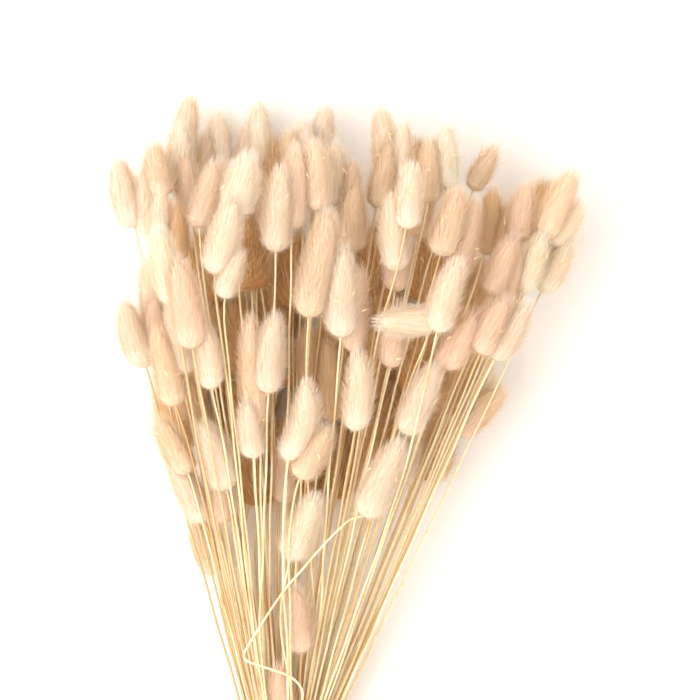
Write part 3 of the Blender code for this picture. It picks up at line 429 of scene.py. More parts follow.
def group_stalks(heads):
    """A group and a place in the tie for each stalk, so that stalks from one side stay on that side."""
    middle = (heads.base + heads.tip) / 2
    _, half_high, across = fan_at(middle[:, 0], middle[:, 1])
    up = (middle[:, 2] - half_high) / half_high
    seen = np.column_stack([across, up])
    seen[BENT_HEAD] = BENT_SEEN  # it lies over all others, so it counts as the highest
    size = heads.count // GROUPS
    order = np.argsort(np.linalg.norm(seen, axis=1), kind="stable")
    group = np.zeros(heads.count, int)
    outer = order[size:]
    turn = np.degrees(np.arctan2(seen[outer, 1], seen[outer, 0])) + HEX_TURN
    outer = outer[np.argsort(turn % 360, kind="stable")]
    for k in range(GROUPS - 1):
        group[outer[k * size : (k + 1) * size]] = k + 1
    cells = np.vstack([np.zeros((1, 2)), ring_of(6, CELL_PITCH, 0)])
    feet = np.empty((heads.count, 2))
    for k in range(GROUPS):
        members = np.flatnonzero(group == k)
        slots = foot_slots(len(members))
        local = seen[members] - seen[members].mean(0)
        near = np.argsort(np.linalg.norm(local, axis=1), kind="stable")
        if BENT_HEAD in members:
            mine = int(np.flatnonzero(members == BENT_HEAD)[0])
            near = np.append(near[near != mine], mine)
        for first, last in ((0, 1), (1, 7), (7, len(members))):
            part = near[first:last]
            spots = slots[first:last]
            if last == len(members) and BENT_HEAD in members:
                feet[members[part[-1]]] = cells[k] + spots[-1]
                part = part[:-1]
                spots = spots[:-1]
            feet[members[part]] = cells[k] + spots[by_angle(local[part], spots)]
    return group, feet


group, feet = group_stalks(heads)
print("stalks in a group", np.bincount(group))

# %% Slices of the heads
SLICE_SHARES = np.linspace(0.02, 0.98, 14)


def head_slices(heads, levels):
    """Round slices of the heads on the levels of Y: each one's head, level, x, z and radius.

    A slice's radius squared is the head's radius there squared, less its distance along Y squared.
    """
    points = heads.along(SLICE_SHARES).reshape(-1, 3)
    radii = (heads.radius[:, None] * girth(SLICE_SHARES)[None]).ravel()
    owner = np.repeat(np.arange(heads.count), len(SLICE_SHARES))
    off = levels[None] - points[:, 1][:, None]
    hit, level = np.nonzero(np.abs(off) < radii[:, None])
    slice_radius = np.sqrt(radii[hit] ** 2 - off[hit, level] ** 2)
    return owner[hit], level, points[hit, 0], points[hit, 2], slice_radius


print("slices on one level", len(head_slices(heads, np.array([heads.base[0, 1]]))[0]))

# %% Bend the stalks clear
STALK_TOP, STALK_FOOT, STALK_GAP, STALK_CLEAR = 0.00060, 0.00072, 0.0010, 0.0004
STALK_KNOTS = np.array((0.0, 0.035, 0.10, 0.20, 0.36, 0.62, 1.0))
CORE_LENGTH, CORE_ROOM = 0.021, 0.0005
STALK_TURNS, LEVEL_STEP, HEAD_ROOM, GROUP_CLEAR = 420, 0.004, 0.0008, 0.00012
NODE_SHARE, STALK_GIVE, LONGEST_MOVE = 0.6, 0.7, 0.004
SMOOTHING, SMOOTH_TURNS, STALK_RISE, STALK_FLOOR = 0.10, 0.7, 0.010, 0.0003
LEAST_WEIGHT, NO_WEIGHT = 0.25, 1e-6


def settle_stalks(heads, nodes, group, feet):
    """Bends the stalks clear of the heads and of each other, from their heads down to the tie.

    A stalk is a line through seven points, and what pushes it is found on levels 4 mm apart. A push
    is as long as the room that is missing, and moves the two points that its level lies between.
    """
    count = heads.count
    node = np.empty(count, int)
    for k, members in enumerate(nodes):
        node[members] = k
    # the points at first: on a straight line from the head to the tie, raised a little in the middle
    start = heads.base + unit(heads.base - heads.tip) * STALK_GAP
    top_y = TIE[1] + CORE_LENGTH / 2 + CORE_ROOM
    knots_y = start[:, 1:2] + (top_y - start[:, 1:2]) * STALK_KNOTS[None]
    end = np.column_stack([TIE[0] + feet[:, 0], TIE_AXIS_Z + feet[:, 1]])
    begin = start[:, [0, 2]]
    line = STALK_KNOTS[None, :, None]
    knots = begin[:, None] * (1 - line) + end[:, None] * line
    knots[:, :, 1] += STALK_RISE * (STALK_KNOTS * (1 - STALK_KNOTS))[None]
    # the levels, and for each stalk the two points that every level lies between
    levels = np.arange(top_y + LEVEL_STEP / 4, start[:, 1].max(), LEVEL_STEP)
    inside = levels[None] < start[:, 1:2]
    inside[BENT_HEAD] = False
    after = (knots_y[:, :, None] > levels[None, None]).sum(1)
    after = np.clip(after, 1, len(STALK_KNOTS) - 1)
    rows = np.arange(count)[:, None]
    above_y = knots_y[rows, after - 1]
    below_y = knots_y[rows, after]
    part = (above_y - levels[None]) / (above_y - below_y)
    radius = STALK_FOOT + (STALK_TOP - STALK_FOOT) * (levels - top_y) / (levels[-1] - top_y)
    # which slices of heads and which pairs of stalks share a level, and how far apart they should be
    owner, level, disc_x, disc_z, disc_r = head_slices(heads, levels)
    use = inside[:, level] & (owner[None] != np.arange(count)[:, None])
    stalk, disc = np.nonzero(use)
    wanted_disc = disc_r[disc] + STALK_TOP + HEAD_ROOM
    same = group[:, None] == group[None]
    both = inside.T[:, :, None] & inside.T[:, None]
    first, a, b = np.nonzero(both & np.triu(np.ones((count, count), bool), 1)[None])
    wanted_pair = 2 * radius[first] + np.where(same[a, b], GROUP_CLEAR, STALK_CLEAR)
    key = node[owner[disc]] * count + stalk
    for turn in range(STALK_TURNS):
        here = knots[rows, after - 1] * (1 - part[..., None]) + knots[rows, after] * part[..., None]
        push = np.zeros_like(here)
        # off the heads, partly away from the slice and partly away from all slices of its node
        off_x = here[stalk, level[disc], 0] - disc_x[disc]
        off_z = here[stalk, level[disc], 1] - disc_z[disc]
        apart = np.hypot(off_x, off_z) + TINY
        short = np.maximum(wanted_disc - apart, 0.0)
        hit = short > 0
        sum_x = np.bincount(key[hit], off_x[hit], count * count)
        sum_z = np.bincount(key[hit], off_z[hit], count * count)
        long = np.hypot(sum_x, sum_z) + TINY
        way_x = NODE_SHARE * (sum_x / long)[key[hit]] + (1 - NODE_SHARE) * off_x[hit] / apart[hit]
        way_z = NODE_SHARE * (sum_z / long)[key[hit]] + (1 - NODE_SHARE) * off_z[hit] / apart[hit]
        spot = (stalk[hit], level[disc[hit]])
        deepest = np.zeros(here.shape[:2])
        np.maximum.at(deepest, spot, short[hit])
        total = np.zeros(here.shape[:2])
        np.add.at(total, spot, short[hit])
        share = deepest[spot] / total[spot]
        np.add.at(push[..., 0], spot, short[hit] * share * way_x)
        np.add.at(push[..., 1], spot, short[hit] * share * way_z)
        # off the other stalks, half the missing room each, and off the floor
        gap = here[a, first] - here[b, first]
        apart = np.hypot(gap[:, 0], gap[:, 1]) + TINY
        short_pair = wanted_pair - apart
        close = short_pair > 0
        half = 0.5 * (short_pair[close] / apart[close])[:, None] * gap[close]
        np.add.at(push, (a[close], first[close]), half)
        np.add.at(push, (b[close], first[close]), -half)
        floor = radius[None] + STALK_FLOOR - here[..., 1]
        push[..., 1] += np.where(inside, np.maximum(floor, 0.0), 0.0)
        # the pushes move the points, which are also drawn a little towards a straight line
        step = np.zeros_like(knots)
        weight = np.full(knots.shape[:2], NO_WEIGHT)
        moved = (np.abs(push).sum(-1) > 0) & inside
        who, where = np.nonzero(moved)
        for side, share in ((after - 1, 1 - part), (after, part)):
            spot = (who, side[who, where])
            np.add.at(step, spot, push[who, where] * share[who, where, None])
            np.add.at(weight, spot, share[who, where] ** 2)
        step /= np.maximum(weight, LEAST_WEIGHT)[..., None]
        long = np.linalg.norm(step, axis=-1, keepdims=True)
        step *= np.minimum(1.0, LONGEST_MOVE / np.maximum(long, TINY))
        smooth = SMOOTHING * max(0.0, 1 - turn / (STALK_TURNS * SMOOTH_TURNS))
        bend = np.zeros_like(knots)
        left = (STALK_KNOTS[1:-1] - STALK_KNOTS[:-2]) / (STALK_KNOTS[2:] - STALK_KNOTS[:-2])
        straight = knots[:, :-2] * (1 - left)[None, :, None] + knots[:, 2:] * left[None, :, None]
        bend[:, 1:-1] = (straight - knots[:, 1:-1]) * smooth
        knots[:, 1:-1] += (STALK_GIVE * step + bend)[:, 1:-1]
    return np.dstack([knots[..., 0], knots_y, knots[..., 1]])


knots = settle_stalks(heads, nodes, group, feet)
print("a stalk's points in mm", np.round(knots[0] * 1000, 1).tolist())

# %% [markdown]
# ## The bent stalk
#
# One stalk in the photograph is broken over and lies across all the others. It is laid like a string
# over a rough table: first how high it has to be at each place, then the tightest line over those
# heights, which is their upper hull.

# %% Lengths along a path
def lengths(line):
    """Length of a path up to each of its points: its steps, added up."""
    return np.concatenate([[0], np.cumsum(np.linalg.norm(np.diff(line, axis=0), axis=1))])


def points_at(where, long, line):
    """Points of a path at some lengths, on the straight lines between its own points."""
    return np.column_stack([np.interp(where, long, line[:, k]) for k in range(line.shape[1])])


print("one stalk's length in mm", round(lengths(knots[0])[-1] * 1000))

# %% Lay the bent stalk over the others
BENT_ROOM, BENT_ROOM_FOOT, BENT_ROOM_GAIN = 0.0019, 0.0010, 0.06
BENT_STEP, BENT_START, BENT_SPACING, NOTHING = 0.001, 0.003, 0.0015, -1.0
BALL_SHARES, THIN_SHARES = np.linspace(0.0, 1.0, 24), np.linspace(0, 1, 12)[:, None]


def bent_stalk_points(heads, knots, foot):
    """Points of the bent stalk: over everything on its way, and tight like a string between them."""
    way = heads.base[BENT_HEAD] - heads.tip[BENT_HEAD]
    start = heads.base[BENT_HEAD] + way / np.linalg.norm(way) * STALK_GAP
    end_y = TIE[1] + CORE_LENGTH / 2 + CORE_ROOM
    shift = start[:2] - place(*HEADS[BENT_HEAD].base)
    fade = np.linspace(1, 0, len(BENT_WAY))[:, None]
    corners = np.array([place(*spot) for spot in BENT_WAY]) + shift * fade
    corners = np.vstack([start[:2], corners, [TIE[0] + foot[0], end_y]])
    long = lengths(corners)
    fine = np.arange(0, long[-1], BENT_STEP)
    line = points_at(fine, long, corners)
    # everything below as balls: along the heads, and along the other stalks
    balls = heads.along(BALL_SHARES).reshape(-1, 3)
    ball_r = (heads.radius[:, None] * girth(BALL_SHARES)[None]).ravel()
    others = np.arange(heads.count) != BENT_HEAD
    thin = [knots[others, k, None] * (1 - THIN_SHARES) + knots[others, k + 1, None] * THIN_SHARES
            for k in range(len(STALK_KNOTS) - 1)]
    thin = np.concatenate(thin).reshape(-1, 3)
    balls = np.vstack([balls, thin])
    ball_r = np.concatenate([ball_r, np.full(len(thin), STALK_FOOT)])
    own = np.repeat(np.arange(heads.count) == BENT_HEAD, len(BALL_SHARES))
    own = np.concatenate([own, np.zeros(len(thin), bool)])
    # how high the stalk has to be over the balls that it passes
    room = np.minimum(BENT_ROOM_FOOT + (long[-1] - fine) * BENT_ROOM_GAIN, BENT_ROOM)
    apart = np.linalg.norm(line[:, None] - balls[None, :, :2], axis=2)
    reach = ball_r[None] + room[:, None]
    near = (apart < reach) & ~own[None]
    rise = np.sqrt(np.maximum(reach**2 - apart**2, 0.0))
    need = np.where(near, balls[None, :, 2] + rise, NOTHING).max(1)
    need[fine < BENT_START] = NOTHING
    need[0] = start[2]
    spots = np.append(fine, long[-1])
    need = np.append(need, TIE_AXIS_Z + foot[1])
    # the upper hull: a stop is left out when the line between its neighbours passes over it
    hull = [0]
    for k in range(1, len(spots)):
        if need[k] < 0:
            continue
        while len(hull) > 1:
            a, b = hull[-2], hull[-1]
            slope = (need[b] - need[a]) * (spots[k] - spots[a])
            if slope > (need[k] - need[a]) * (spots[b] - spots[a]):
                break
            hull.pop()
        hull.append(k)
    stops = np.unique(np.concatenate([long, spots[hull]]))
    stops = stops[np.concatenate([[True], np.diff(stops) > BENT_SPACING])]
    stops[-1] = long[-1]
    heights = np.interp(stops, spots[hull], need[hull])
    return np.column_stack([points_at(stops, long, corners), heights])


bent_points = bent_stalk_points(heads, knots, feet[BENT_HEAD])
print("bent stalk's points", len(bent_points), "highest in mm", round(bent_points[:, 2].max() * 1000, 1))

# %% [markdown]
# ## Matching the solids
#
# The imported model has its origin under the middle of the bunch, while the rule above counts from the
# photograph. A head's solid has a peak over every mesh of a net, so its corners are easy to work out
# again. The middle of their box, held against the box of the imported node, tells how far to move each
# group of heads, and how well the two agree.

# %% Corners of the solids
VALLEY, SIDES, HIDDEN_SIDES, LEAN, SHORT_HEAD, RING_TURN = 0.80, 5, 4, 0.40, 0.054, 0.37
LONG_RINGS = np.array((0.10, 0.29, 0.49, 0.69, 0.88))
SHORT_RINGS = np.array((0.12, 0.36, 0.61, 0.86))
HIDDEN_RINGS = np.array((0.14, 0.46, 0.80))


def across(way):
    """Two ways square to a way: one level, and one that completes a right-handed set."""
    way = unit(way)
    level = unit(np.stack([-way[..., 1], way[..., 0], np.zeros(way.shape[:-1])], -1))
    return level, np.cross(way, level)


def at_angle(one, other, turn):
    """The way at an angle from one way to another square to it: cosine of one plus sine of the other."""
    return one * np.cos(turn)[..., None] + other * np.sin(turn)[..., None]


def solid_corners(i):
    """Corners of a head's solid: rings in the valleys, and a peak leaning on towards the tip."""
    way = heads.tip[i] - heads.base[i]
    shares = SHORT_RINGS if np.linalg.norm(way) < SHORT_HEAD else LONG_RINGS
    sides = SIDES
    if i >= len(HEADS):
        shares = HIDDEN_RINGS
        sides = HIDDEN_SIDES
    edge = np.concatenate([[0.0], shares, [1.0]])
    peaks = shares + LEAN * (edge[2:] - edge[1:-1])
    level, up = across(way)
    half = math.pi / sides
    turn = (np.arange(sides) + RING_TURN * i) * 2 * half + half * (np.arange(len(shares))[:, None] % 2)
    rings = []
    for s, reach, more in ((shares, VALLEY, 0.0), (peaks, 1.0, half)):
        radius = heads.radius[i] * reach * girth(s)[:, None, None]
        spoke = at_angle(level, up, turn + more)
        rings.append((heads.along(s)[i][:, None] + radius * spoke).reshape(-1, 3))
    return np.vstack(rings + [heads.along(edge)[i][[0, -1]]])


print("corners of the first head's solid", len(solid_corners(0)))

# %% Move everything into the frame of the model
offsets = []
for k, members in enumerate(nodes):
    corners = np.vstack([solid_corners(i) for i in members])
    low, high = (np.array(corner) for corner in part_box(f"heads_{k + 1:02d}"))
    offsets.append(((low + high) - (corners.min(0) + corners.max(0))) / 2)
offsets = np.array(offsets)
shift = np.median(offsets, axis=0)
for offset, members in zip(offsets, nodes):
    heads.base[members] += offset
    heads.tip[members] += offset
knots = knots + shift
bent_points = bent_points + shift
tie_middle = np.array([TIE[0], TIE[1], TIE_AXIS_Z]) + shift
print("moved by mm", np.round(shift * 1000, 2))
print("largest disagreement in mm", round(float(np.abs(offsets - shift).max()) * 1000, 4))

# %% [markdown]
# ## From arrays to a mesh
#
# A piece is one mesh of many small closed shapes. Its points, faces and everything that its colour
# needs are whole numpy arrays, which go into Blender in one go. Each hair carries three numbers for
# its finish: the tint of its head, how far along the hair a point is, which sets its painted shade,
# and a shade of its own.

# %% A mesh from arrays
def make_piece(name, points, faces, values, places=None, smooth=False):
    """A mesh object at the origin: points, faces of one size, values per point, and a UV per corner."""
    mesh = bpy.data.meshes.new(name)
    mesh.vertices.add(len(points))
    mesh.vertices.foreach_set("co", np.asarray(points, np.float32).ravel())
    size = faces.shape[1]
    mesh.loops.add(faces.size)
    mesh.loops.foreach_set("vertex_index", faces.astype(np.int32).ravel())
    mesh.polygons.add(len(faces))
    mesh.polygons.foreach_set("loop_start", np.arange(0, faces.size, size, dtype=np.int32))
    mesh.polygons.foreach_set("loop_total", np.full(len(faces), size, np.int32))
    mesh.polygons.foreach_set("use_smooth", np.full(len(faces), smooth))
    for title, value in values.items():
        kind = "FLOAT_COLOR" if value.ndim == 2 else "FLOAT"
        layer = mesh.attributes.new(title, kind, "POINT")
        field = "color" if value.ndim == 2 else "value"
        layer.data.foreach_set(field, np.asarray(value, np.float32).ravel())
    if places is not None:
        layer = mesh.uv_layers.new(name="OFBake")
        layer.data.foreach_set("uv", np.asarray(places, np.float32).ravel())
    mesh.update(calc_edges=True)
    mesh.validate()
    thing = bpy.data.objects.new(name, mesh)
    bpy.context.scene.collection.objects.link(thing)
    return thing


# %% Faces between rings of points
def band(a, b, sides):
    """Triangles between a ring of points that starts at a and one that starts at b."""
    j = np.arange(sides)
    beside = (j + 1) % sides
    return np.vstack([np.stack([a + j, b + beside, a + beside], -1).reshape(-1, 3),
                      np.stack([a + j, b + j, b + beside], -1).reshape(-1, 3)])


def cap(a, pole, sides):
    """Triangles between a ring of points that starts at a and a pole."""
    j = np.arange(sides)
    return np.column_stack([a + j, a + (j + 1) % sides, np.full(sides, pole)])


def flipped(faces):
    """The same triangles, facing the other way."""
    return faces[:, [0, 2, 1]]


def stacked(parts):
    """Small meshes as one: the faces of each count on from the points of those before it."""
    first = np.cumsum([0] + [len(points) for points, _ in parts[:-1]])
    faces = [faces + start for (_, faces), start in zip(parts, first)]
    return np.vstack([points for points, _ in parts]), np.vstack(faces)


print("a band of three sides", band(0, 3, 3).tolist())

# %% Colours, nodes and bodies
def linear(code):
    """Linear red, green and blue of an sRGB hex colour: the sRGB curve, undone."""
    value = np.array([int(code[k : k + 2], 16) for k in (1, 3, 5)]) / 255
    return np.where(value <= 0.04045, value / 12.92, ((value + 0.055) / 1.055) ** 2.4)


def add_node(tree, kind, inputs=None, **settings):
    """One node with its settings; an input is a number, a colour or another node's output."""
    node = tree.nodes.new(kind)
    for title, value in settings.items():
        setattr(node, title, value)
    for title, value in (inputs or {}).items():
        if isinstance(value, bpy.types.NodeSocket):
            tree.links.new(value, node.inputs[title])
        else:
            node.inputs[title].default_value = value
    return node


def new_material(name, roughness, ior=1.5):
    """A material, its node tree and its shader, which gets its roughness and IOR."""
    made = bpy.data.materials.new(name)
    made.use_nodes = True
    shader = made.node_tree.nodes["Principled BSDF"]
    shader.inputs["Roughness"].default_value = roughness
    shader.inputs["IOR"].default_value = ior
    return made, made.node_tree, shader


def dress(thing, node, material):
    """The piece takes the place of a node, its finish and its body."""
    thing.data.materials.append(material)
    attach(thing, "root")
    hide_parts(node)


print("a white in linear numbers", linear("#ffffff"))

# %% [markdown]
# ## The finish of the hairs
#
# Dried grass hairs are thin dead plant cells: dull, pale, and nearly see-through, so light gets
# deep into the head and comes out warm. Each hair has painted shade: browner at its root, for light
# that has passed through many others, and nearly white at its point. The tint comes from the head,
# and a little shade from the hair. Sheen stands for the light that the finest hairs catch along the
# edge of a head. The heads at the far end get painted light, so their tint goes part of the way to
# white. The ones under all others get painted shade: the brown that the depth of the bunch shows.

# %% Material of the hairs
TINTS = {"cream": "#fbf2e7", "beige": "#f4e3ce", "pink": "#f4e1d1", "tan": "#efd7b6"}
# painted shade: the deep brown that the hidden heads go towards; the awns' gold is their own colour
DEEP_PAINTED_SHADE, AWN_TINT = "#cf9e68", "#f8d8a0"
# painted shade at the roots of the hairs, for the light that has passed through many others
ROOT_PAINTED_SHADE = (0.93, 0.79, 0.62, 1.0)
SHADE_LOW, SHADE_HIGH = 0.94, 1.04


def hair_material():
    """Tint times painted shade that goes from brown at the root to white at the point, times the shade."""
    made, tree, shader = new_material("dried_grass_hairs", roughness=0.75, ior=1.45)
    tint = add_node(tree, "ShaderNodeAttribute", attribute_name="tint")
    along = add_node(tree, "ShaderNodeAttribute", attribute_name="along")
    shade = add_node(tree, "ShaderNodeAttribute", attribute_name="shade")
    warm = add_node(tree, "ShaderNodeMix", {"Factor": along.outputs["Fac"]}, data_type="RGBA")
    warm.inputs["A"].default_value = ROOT_PAINTED_SHADE
    warm.inputs["B"].default_value = (1.0, 1.0, 1.0, 1.0)
    own = add_node(tree, "ShaderNodeMapRange", {"Value": shade.outputs["Fac"],
                   "To Min": SHADE_LOW, "To Max": SHADE_HIGH})
    both = add_node(tree, "ShaderNodeVectorMath", {0: warm.outputs["Result"], "Scale": own.outputs[0]},
                    operation="SCALE")
    colour = add_node(tree, "ShaderNodeVectorMath", {0: tint.outputs["Color"], 1: both.outputs[0]},
                      operation="MULTIPLY")
    tree.links.new(colour.outputs[0], shader.inputs["Base Color"])
    shader.inputs["Sheen Weight"].default_value = 0.2
    shader.inputs["Sheen Roughness"].default_value = 0.5
    shader.inputs["Sheen Tint"].default_value = (*linear("#fff4e4"), 1.0)
    return made


hairs_finish = hair_material()
print("made", hairs_finish.name)

# %% [markdown]
# ## The core under the hairs
#
# A core inside the hairs keeps the light out of the head. It is a surface of turn: the profile is a
# quarter of a circle at the base, then nearly even, and closes at the tip. It ends in a pole at both
# ends, and its rings stand closer where the profile bends most. Heads under the others have a thicker
# core, which closes the gaps between them.

# %% Cores
CORE_FROM, CORE_TO, CORE_SIDES, FLOOR_GAP = 0.012, 0.90, 10, 0.0002
CORE_THICK, HIDDEN_CORE = 0.87, 1.12
ROUND_BASE, CLOSING, CLOSING_SHAPE = 0.15, 3.1, 0.55
CORE_SHARES = np.array((0.0, 0.012, 0.05, 0.12, 0.25, 0.45, 0.65, 0.82, 0.94, 1.0))


def profile(c):
    """A quarter circle up to a share of the length, times one minus a power of the share, rooted."""
    base = np.sqrt(1 - (1 - np.clip(c / ROUND_BASE, 0, 1)) ** 2)
    return base * (1 - np.clip(c, 0, 1) ** CLOSING) ** CLOSING_SHAPE


def core_thick(i):
    """Radius of the core at its thickest, wider for the hidden heads."""
    return heads.radius[i] * (HIDDEN_CORE if i >= len(HEADS) else CORE_THICK)


def core_of(i):
    """Rings of the profile carried along the head's axis, with one pole at each end."""
    middle = heads.along(CORE_FROM + (CORE_TO - CORE_FROM) * CORE_SHARES)[i]
    level, up = across(heads.tip[i] - heads.base[i])
    turn = np.arange(CORE_SIDES) * 2 * np.pi / CORE_SIDES
    spoke = at_angle(level, up, turn)
    radius = core_thick(i) * profile(CORE_SHARES[1:-1])
    rings = middle[1:-1, None] + spoke[None] * radius[:, None, None]
    points = np.vstack([rings.reshape(-1, 3), middle[:1], middle[-1:]])
    points[:, 2] = np.maximum(points[:, 2], FLOOR_GAP)
    last_ring = (len(radius) - 1) * CORE_SIDES
    start = np.arange(0, last_ring, CORE_SIDES)[:, None]
    faces = [flipped(cap(0, last_ring + CORE_SIDES, CORE_SIDES)),
             flipped(band(start, start + CORE_SIDES, CORE_SIDES)),
             cap(last_ring, last_ring + CORE_SIDES + 1, CORE_SIDES)]
    return points, np.vstack(faces)


print("core triangles", len(core_of(0)[1]))

# %% [markdown]
# ## The hairs of a head
#
# On the real head hundreds of spikelets each carry a tuft of fine hairs, 8 to 10 mm long, which lie
# over each other towards the tip and stand off the head by some 25 degrees. They are short and
# close at the base, so the base looks round, and pale, as their roots there lose the painted shade.
# A hair could be a curve, but an exported model keeps only mesh, so each one is a closed needle of
# four triangles: two corners side by side on the core, one below them, and a point. Its widest side
# looks outwards, so thousands of them shade like one soft surface. A real hair is 0.05 mm wide, too
# fine to show, so these are drawn a quarter of a millimetre wide and fewer. Stiff awns stand out
# further and show as fine golden lines in the dark between the heads, so the heads under the others
# have ten times as many. Here and there a broken bit of straw is caught on top. Nothing reaches
# below the floor.

# %% A hair as a needle
HAIR_DEEP = 0.6


def needle_faces(count):
    """Four triangles for each hair of four corners: left, right, under and point."""
    one = np.array([(0, 1, 3), (1, 2, 3), (2, 0, 3), (0, 2, 1)])
    return (one[None] + 4 * np.arange(count)[:, None, None]).reshape(-1, 3)


def needles(root, side, under, way, long, wide):
    """Four corners for each hair, from its root, three ways, its length and its width."""
    points = np.stack([root - side * wide / 2, root + side * wide / 2, root - under * wide * HAIR_DEEP,
                       root + way * long], 1)
    points[..., 2] = np.maximum(points[..., 2], FLOOR_GAP)
    return points


print("needle faces", needle_faces(2).tolist())

# %% Where the hairs stand
HAIR_LONG, HAIR_WIDE = 0.0090, 0.00026
HAIRS_PER_AREA, HIDDEN_SHARE = 0.90e6, 0.6
LIFT, LIFT_SPREAD, LEAST_FLARE = 26.0, 8.0, 7.0
TUFTS_ROUND, TUFTS_LONG, TUFT_PULL, TUFT_SHADE, TUFT_WAVES = 9, 12, 0.25, 0.10, (7.3, 3.1)
AWNS, HIDDEN_AWNS, AWN_LONG, AWN_WIDE, AWN_LIFT = 150, 1500, 0.0125, 0.00018, 18.0
GOLDEN = math.pi * (3 - math.sqrt(5))
SHADES, BANDS = 10, 4
TURN_SPREAD, SIDE_SPREAD, SHADE_SPREAD = 0.15, 0.10, 0.2
USUAL_RADIUS, PROFILE_STEPS = 0.008, 400
LONG_AT, LONG_SHARE = [0, 0.08, 0.25, 1.0], [0.42, 0.55, 0.95, 0.90]
LONG_RANGE, AWN_LONG_RANGE, WIDE_RANGE, AWN_SPAN = (0.75, 1.10), (0.7, 1.2), (0.75, 1.25), (0.05, 0.95)
# paleness lifts the painted root shade: fully at a head's base, not at all from a third of it on, half on
# awns
PALE_AT, PALE_SHARE, AWN_PALE = [0, 0.12, 0.35], [1.0, 0.7, 0.0], 0.5


def grow_hairs(i, rng, sparse, awns):
    """Hairs of one head: roots on a spiral of golden turns, spread evenly over the core's area.

    A hair leaves the core at the slope of the profile there plus its lift, and is drawn a little
    towards the middle of its tuft. Its shade is a number from 0 to 1 in ten steps, and its paleness,
    the share of its painted root shade that is lifted, falls from the base in four.
    """
    way = heads.tip[i] - heads.base[i]
    long = np.linalg.norm(way)
    fine = np.linspace(0, 1, PROFILE_STEPS)
    thick = core_thick(i) * profile(fine)
    steps = np.hypot(np.diff(thick), long * (CORE_TO - CORE_FROM) * np.diff(fine))
    area = np.concatenate([[0], np.cumsum(np.pi * (thick[1:] + thick[:-1]) * steps)])
    count = int(area[-1] * HAIRS_PER_AREA * sparse)
    k = np.arange(count + awns)
    even = (k[:count] + rng.uniform(0, 1, count)) / count
    share = np.concatenate([even, rng.uniform(*AWN_SPAN, awns)])
    c = np.interp(share, area / area[-1], fine)
    turn = k * GOLDEN + rng.normal(0, TURN_SPREAD, len(k))
    row = np.floor(c * TUFTS_LONG)
    step = 2 * np.pi / TUFTS_ROUND
    tuft = (np.floor(turn / step + 0.5 * (row % 2)) - 0.5 * (row % 2) + 0.5) * step
    aim = turn + TUFT_PULL * (tuft - turn)
    level, up = across(way)
    ahead = way / long
    spoke = at_angle(level, up, turn)
    side = at_angle(up, -level, turn)
    out = at_angle(level, up, aim)
    root = heads.along(CORE_FROM + (CORE_TO - CORE_FROM) * c)[i]
    root = root + spoke * (core_thick(i) * profile(c))[:, None]
    slope = np.degrees(np.arctan(np.gradient(thick, long * (CORE_TO - CORE_FROM) * fine)))
    awn = k >= count
    flare = np.interp(c, fine, slope) + rng.normal(LIFT, LIFT_SPREAD * (1 + awn)) + AWN_LIFT * awn
    flare = np.radians(np.maximum(flare, LEAST_FLARE))
    grown = at_angle(ahead, out, flare)
    grown += side * (rng.normal(0, SIDE_SPREAD, len(k)) * (1 + awn))[:, None]
    grown = unit(grown)
    size = HAIR_LONG * np.interp(c, LONG_AT, LONG_SHARE)
    size = size * math.sqrt(heads.radius[i] / USUAL_RADIUS) * rng.uniform(*LONG_RANGE, len(k))
    size = np.where(awn, AWN_LONG * rng.uniform(*AWN_LONG_RANGE, len(k)), size)
    wide = np.where(awn, AWN_WIDE, HAIR_WIDE * rng.uniform(*WIDE_RANGE, len(k)))[:, None]
    points = needles(root, side, spoke, grown, size[:, None], wide)
    # two waves that don't keep step, so that neighbouring tufts differ
    by_tuft = TUFT_SHADE * np.sin(TUFT_WAVES[0] * tuft + TUFT_WAVES[1] * row)
    own = np.clip(rng.normal(0.5, SHADE_SPREAD, len(k)) + by_tuft, 0, 1)
    shade = np.round(own * (SHADES - 1)) / (SHADES - 1)
    pale = np.interp(c, PALE_AT, PALE_SHARE)
    pale = np.where(awn, AWN_PALE, np.round(pale * BANDS) / BANDS)
    return points, shade, pale, awn


trial = grow_hairs(0, np.random.default_rng(SEED), 1.0, AWNS)[0]
print("hairs on the first head", len(trial))

# %% Broken bits of straw
CHIPS, CHIP_LONG, CHIP_WIDE = 0.7, 0.0045, 0.0009
CHIP_FROM, CHIP_TO = 0.2, 0.8


def chips(i, rng):
    """Broken bits of straw caught in the hairs: needles that lie square to the upper side of a head."""
    count = rng.binomial(2, CHIPS / 2)
    c = rng.uniform(CHIP_FROM, CHIP_TO, count)
    way = heads.tip[i] - heads.base[i]
    level, up = across(way)
    spoke = at_angle(level, up, rng.uniform(CHIP_FROM, CHIP_TO, count) * math.pi)
    root = heads.along(c)[i] + spoke * (core_thick(i) * profile(c) + CHIP_LONG)[:, None]
    ahead = way / np.linalg.norm(way)
    side = np.cross(spoke, ahead)
    grown = unit(ahead * rng.uniform(-1, 1, (count, 1)) + side * rng.uniform(-1, 1, (count, 1)))
    return needles(root, np.cross(spoke, grown), spoke, grown, CHIP_LONG, CHIP_WIDE)


print("bits on the first head", len(chips(0, np.random.default_rng(SEED))))

# %% [markdown]
# ## One piece for each solid
#
# The hairs and cores of the heads of a solid go into one mesh. In its UV map a head has a few rows, one
# for each paleness of the roots, and a column for each shade. Hairs that look the same lie in the same
# cell, so a small baked picture still holds every colour.

# %% The tint of a head
# painted light: the share of white that the heads at the far end get, from where it starts along Y to
# where it is full
FAR_PAINTED_LIGHT, FAR_LIGHT_FROM, FAR_LIGHT_TO = 0.70, 0.14, 0.20
# the painted shade of the hidden heads is full in the middle of the fan and a quarter at its rim
RIM_FROM, RIM_TO, RIM_LEFT = 0.40, 0.65, 0.25
TINT_SPREAD, PALEST = 0.03, 0.97


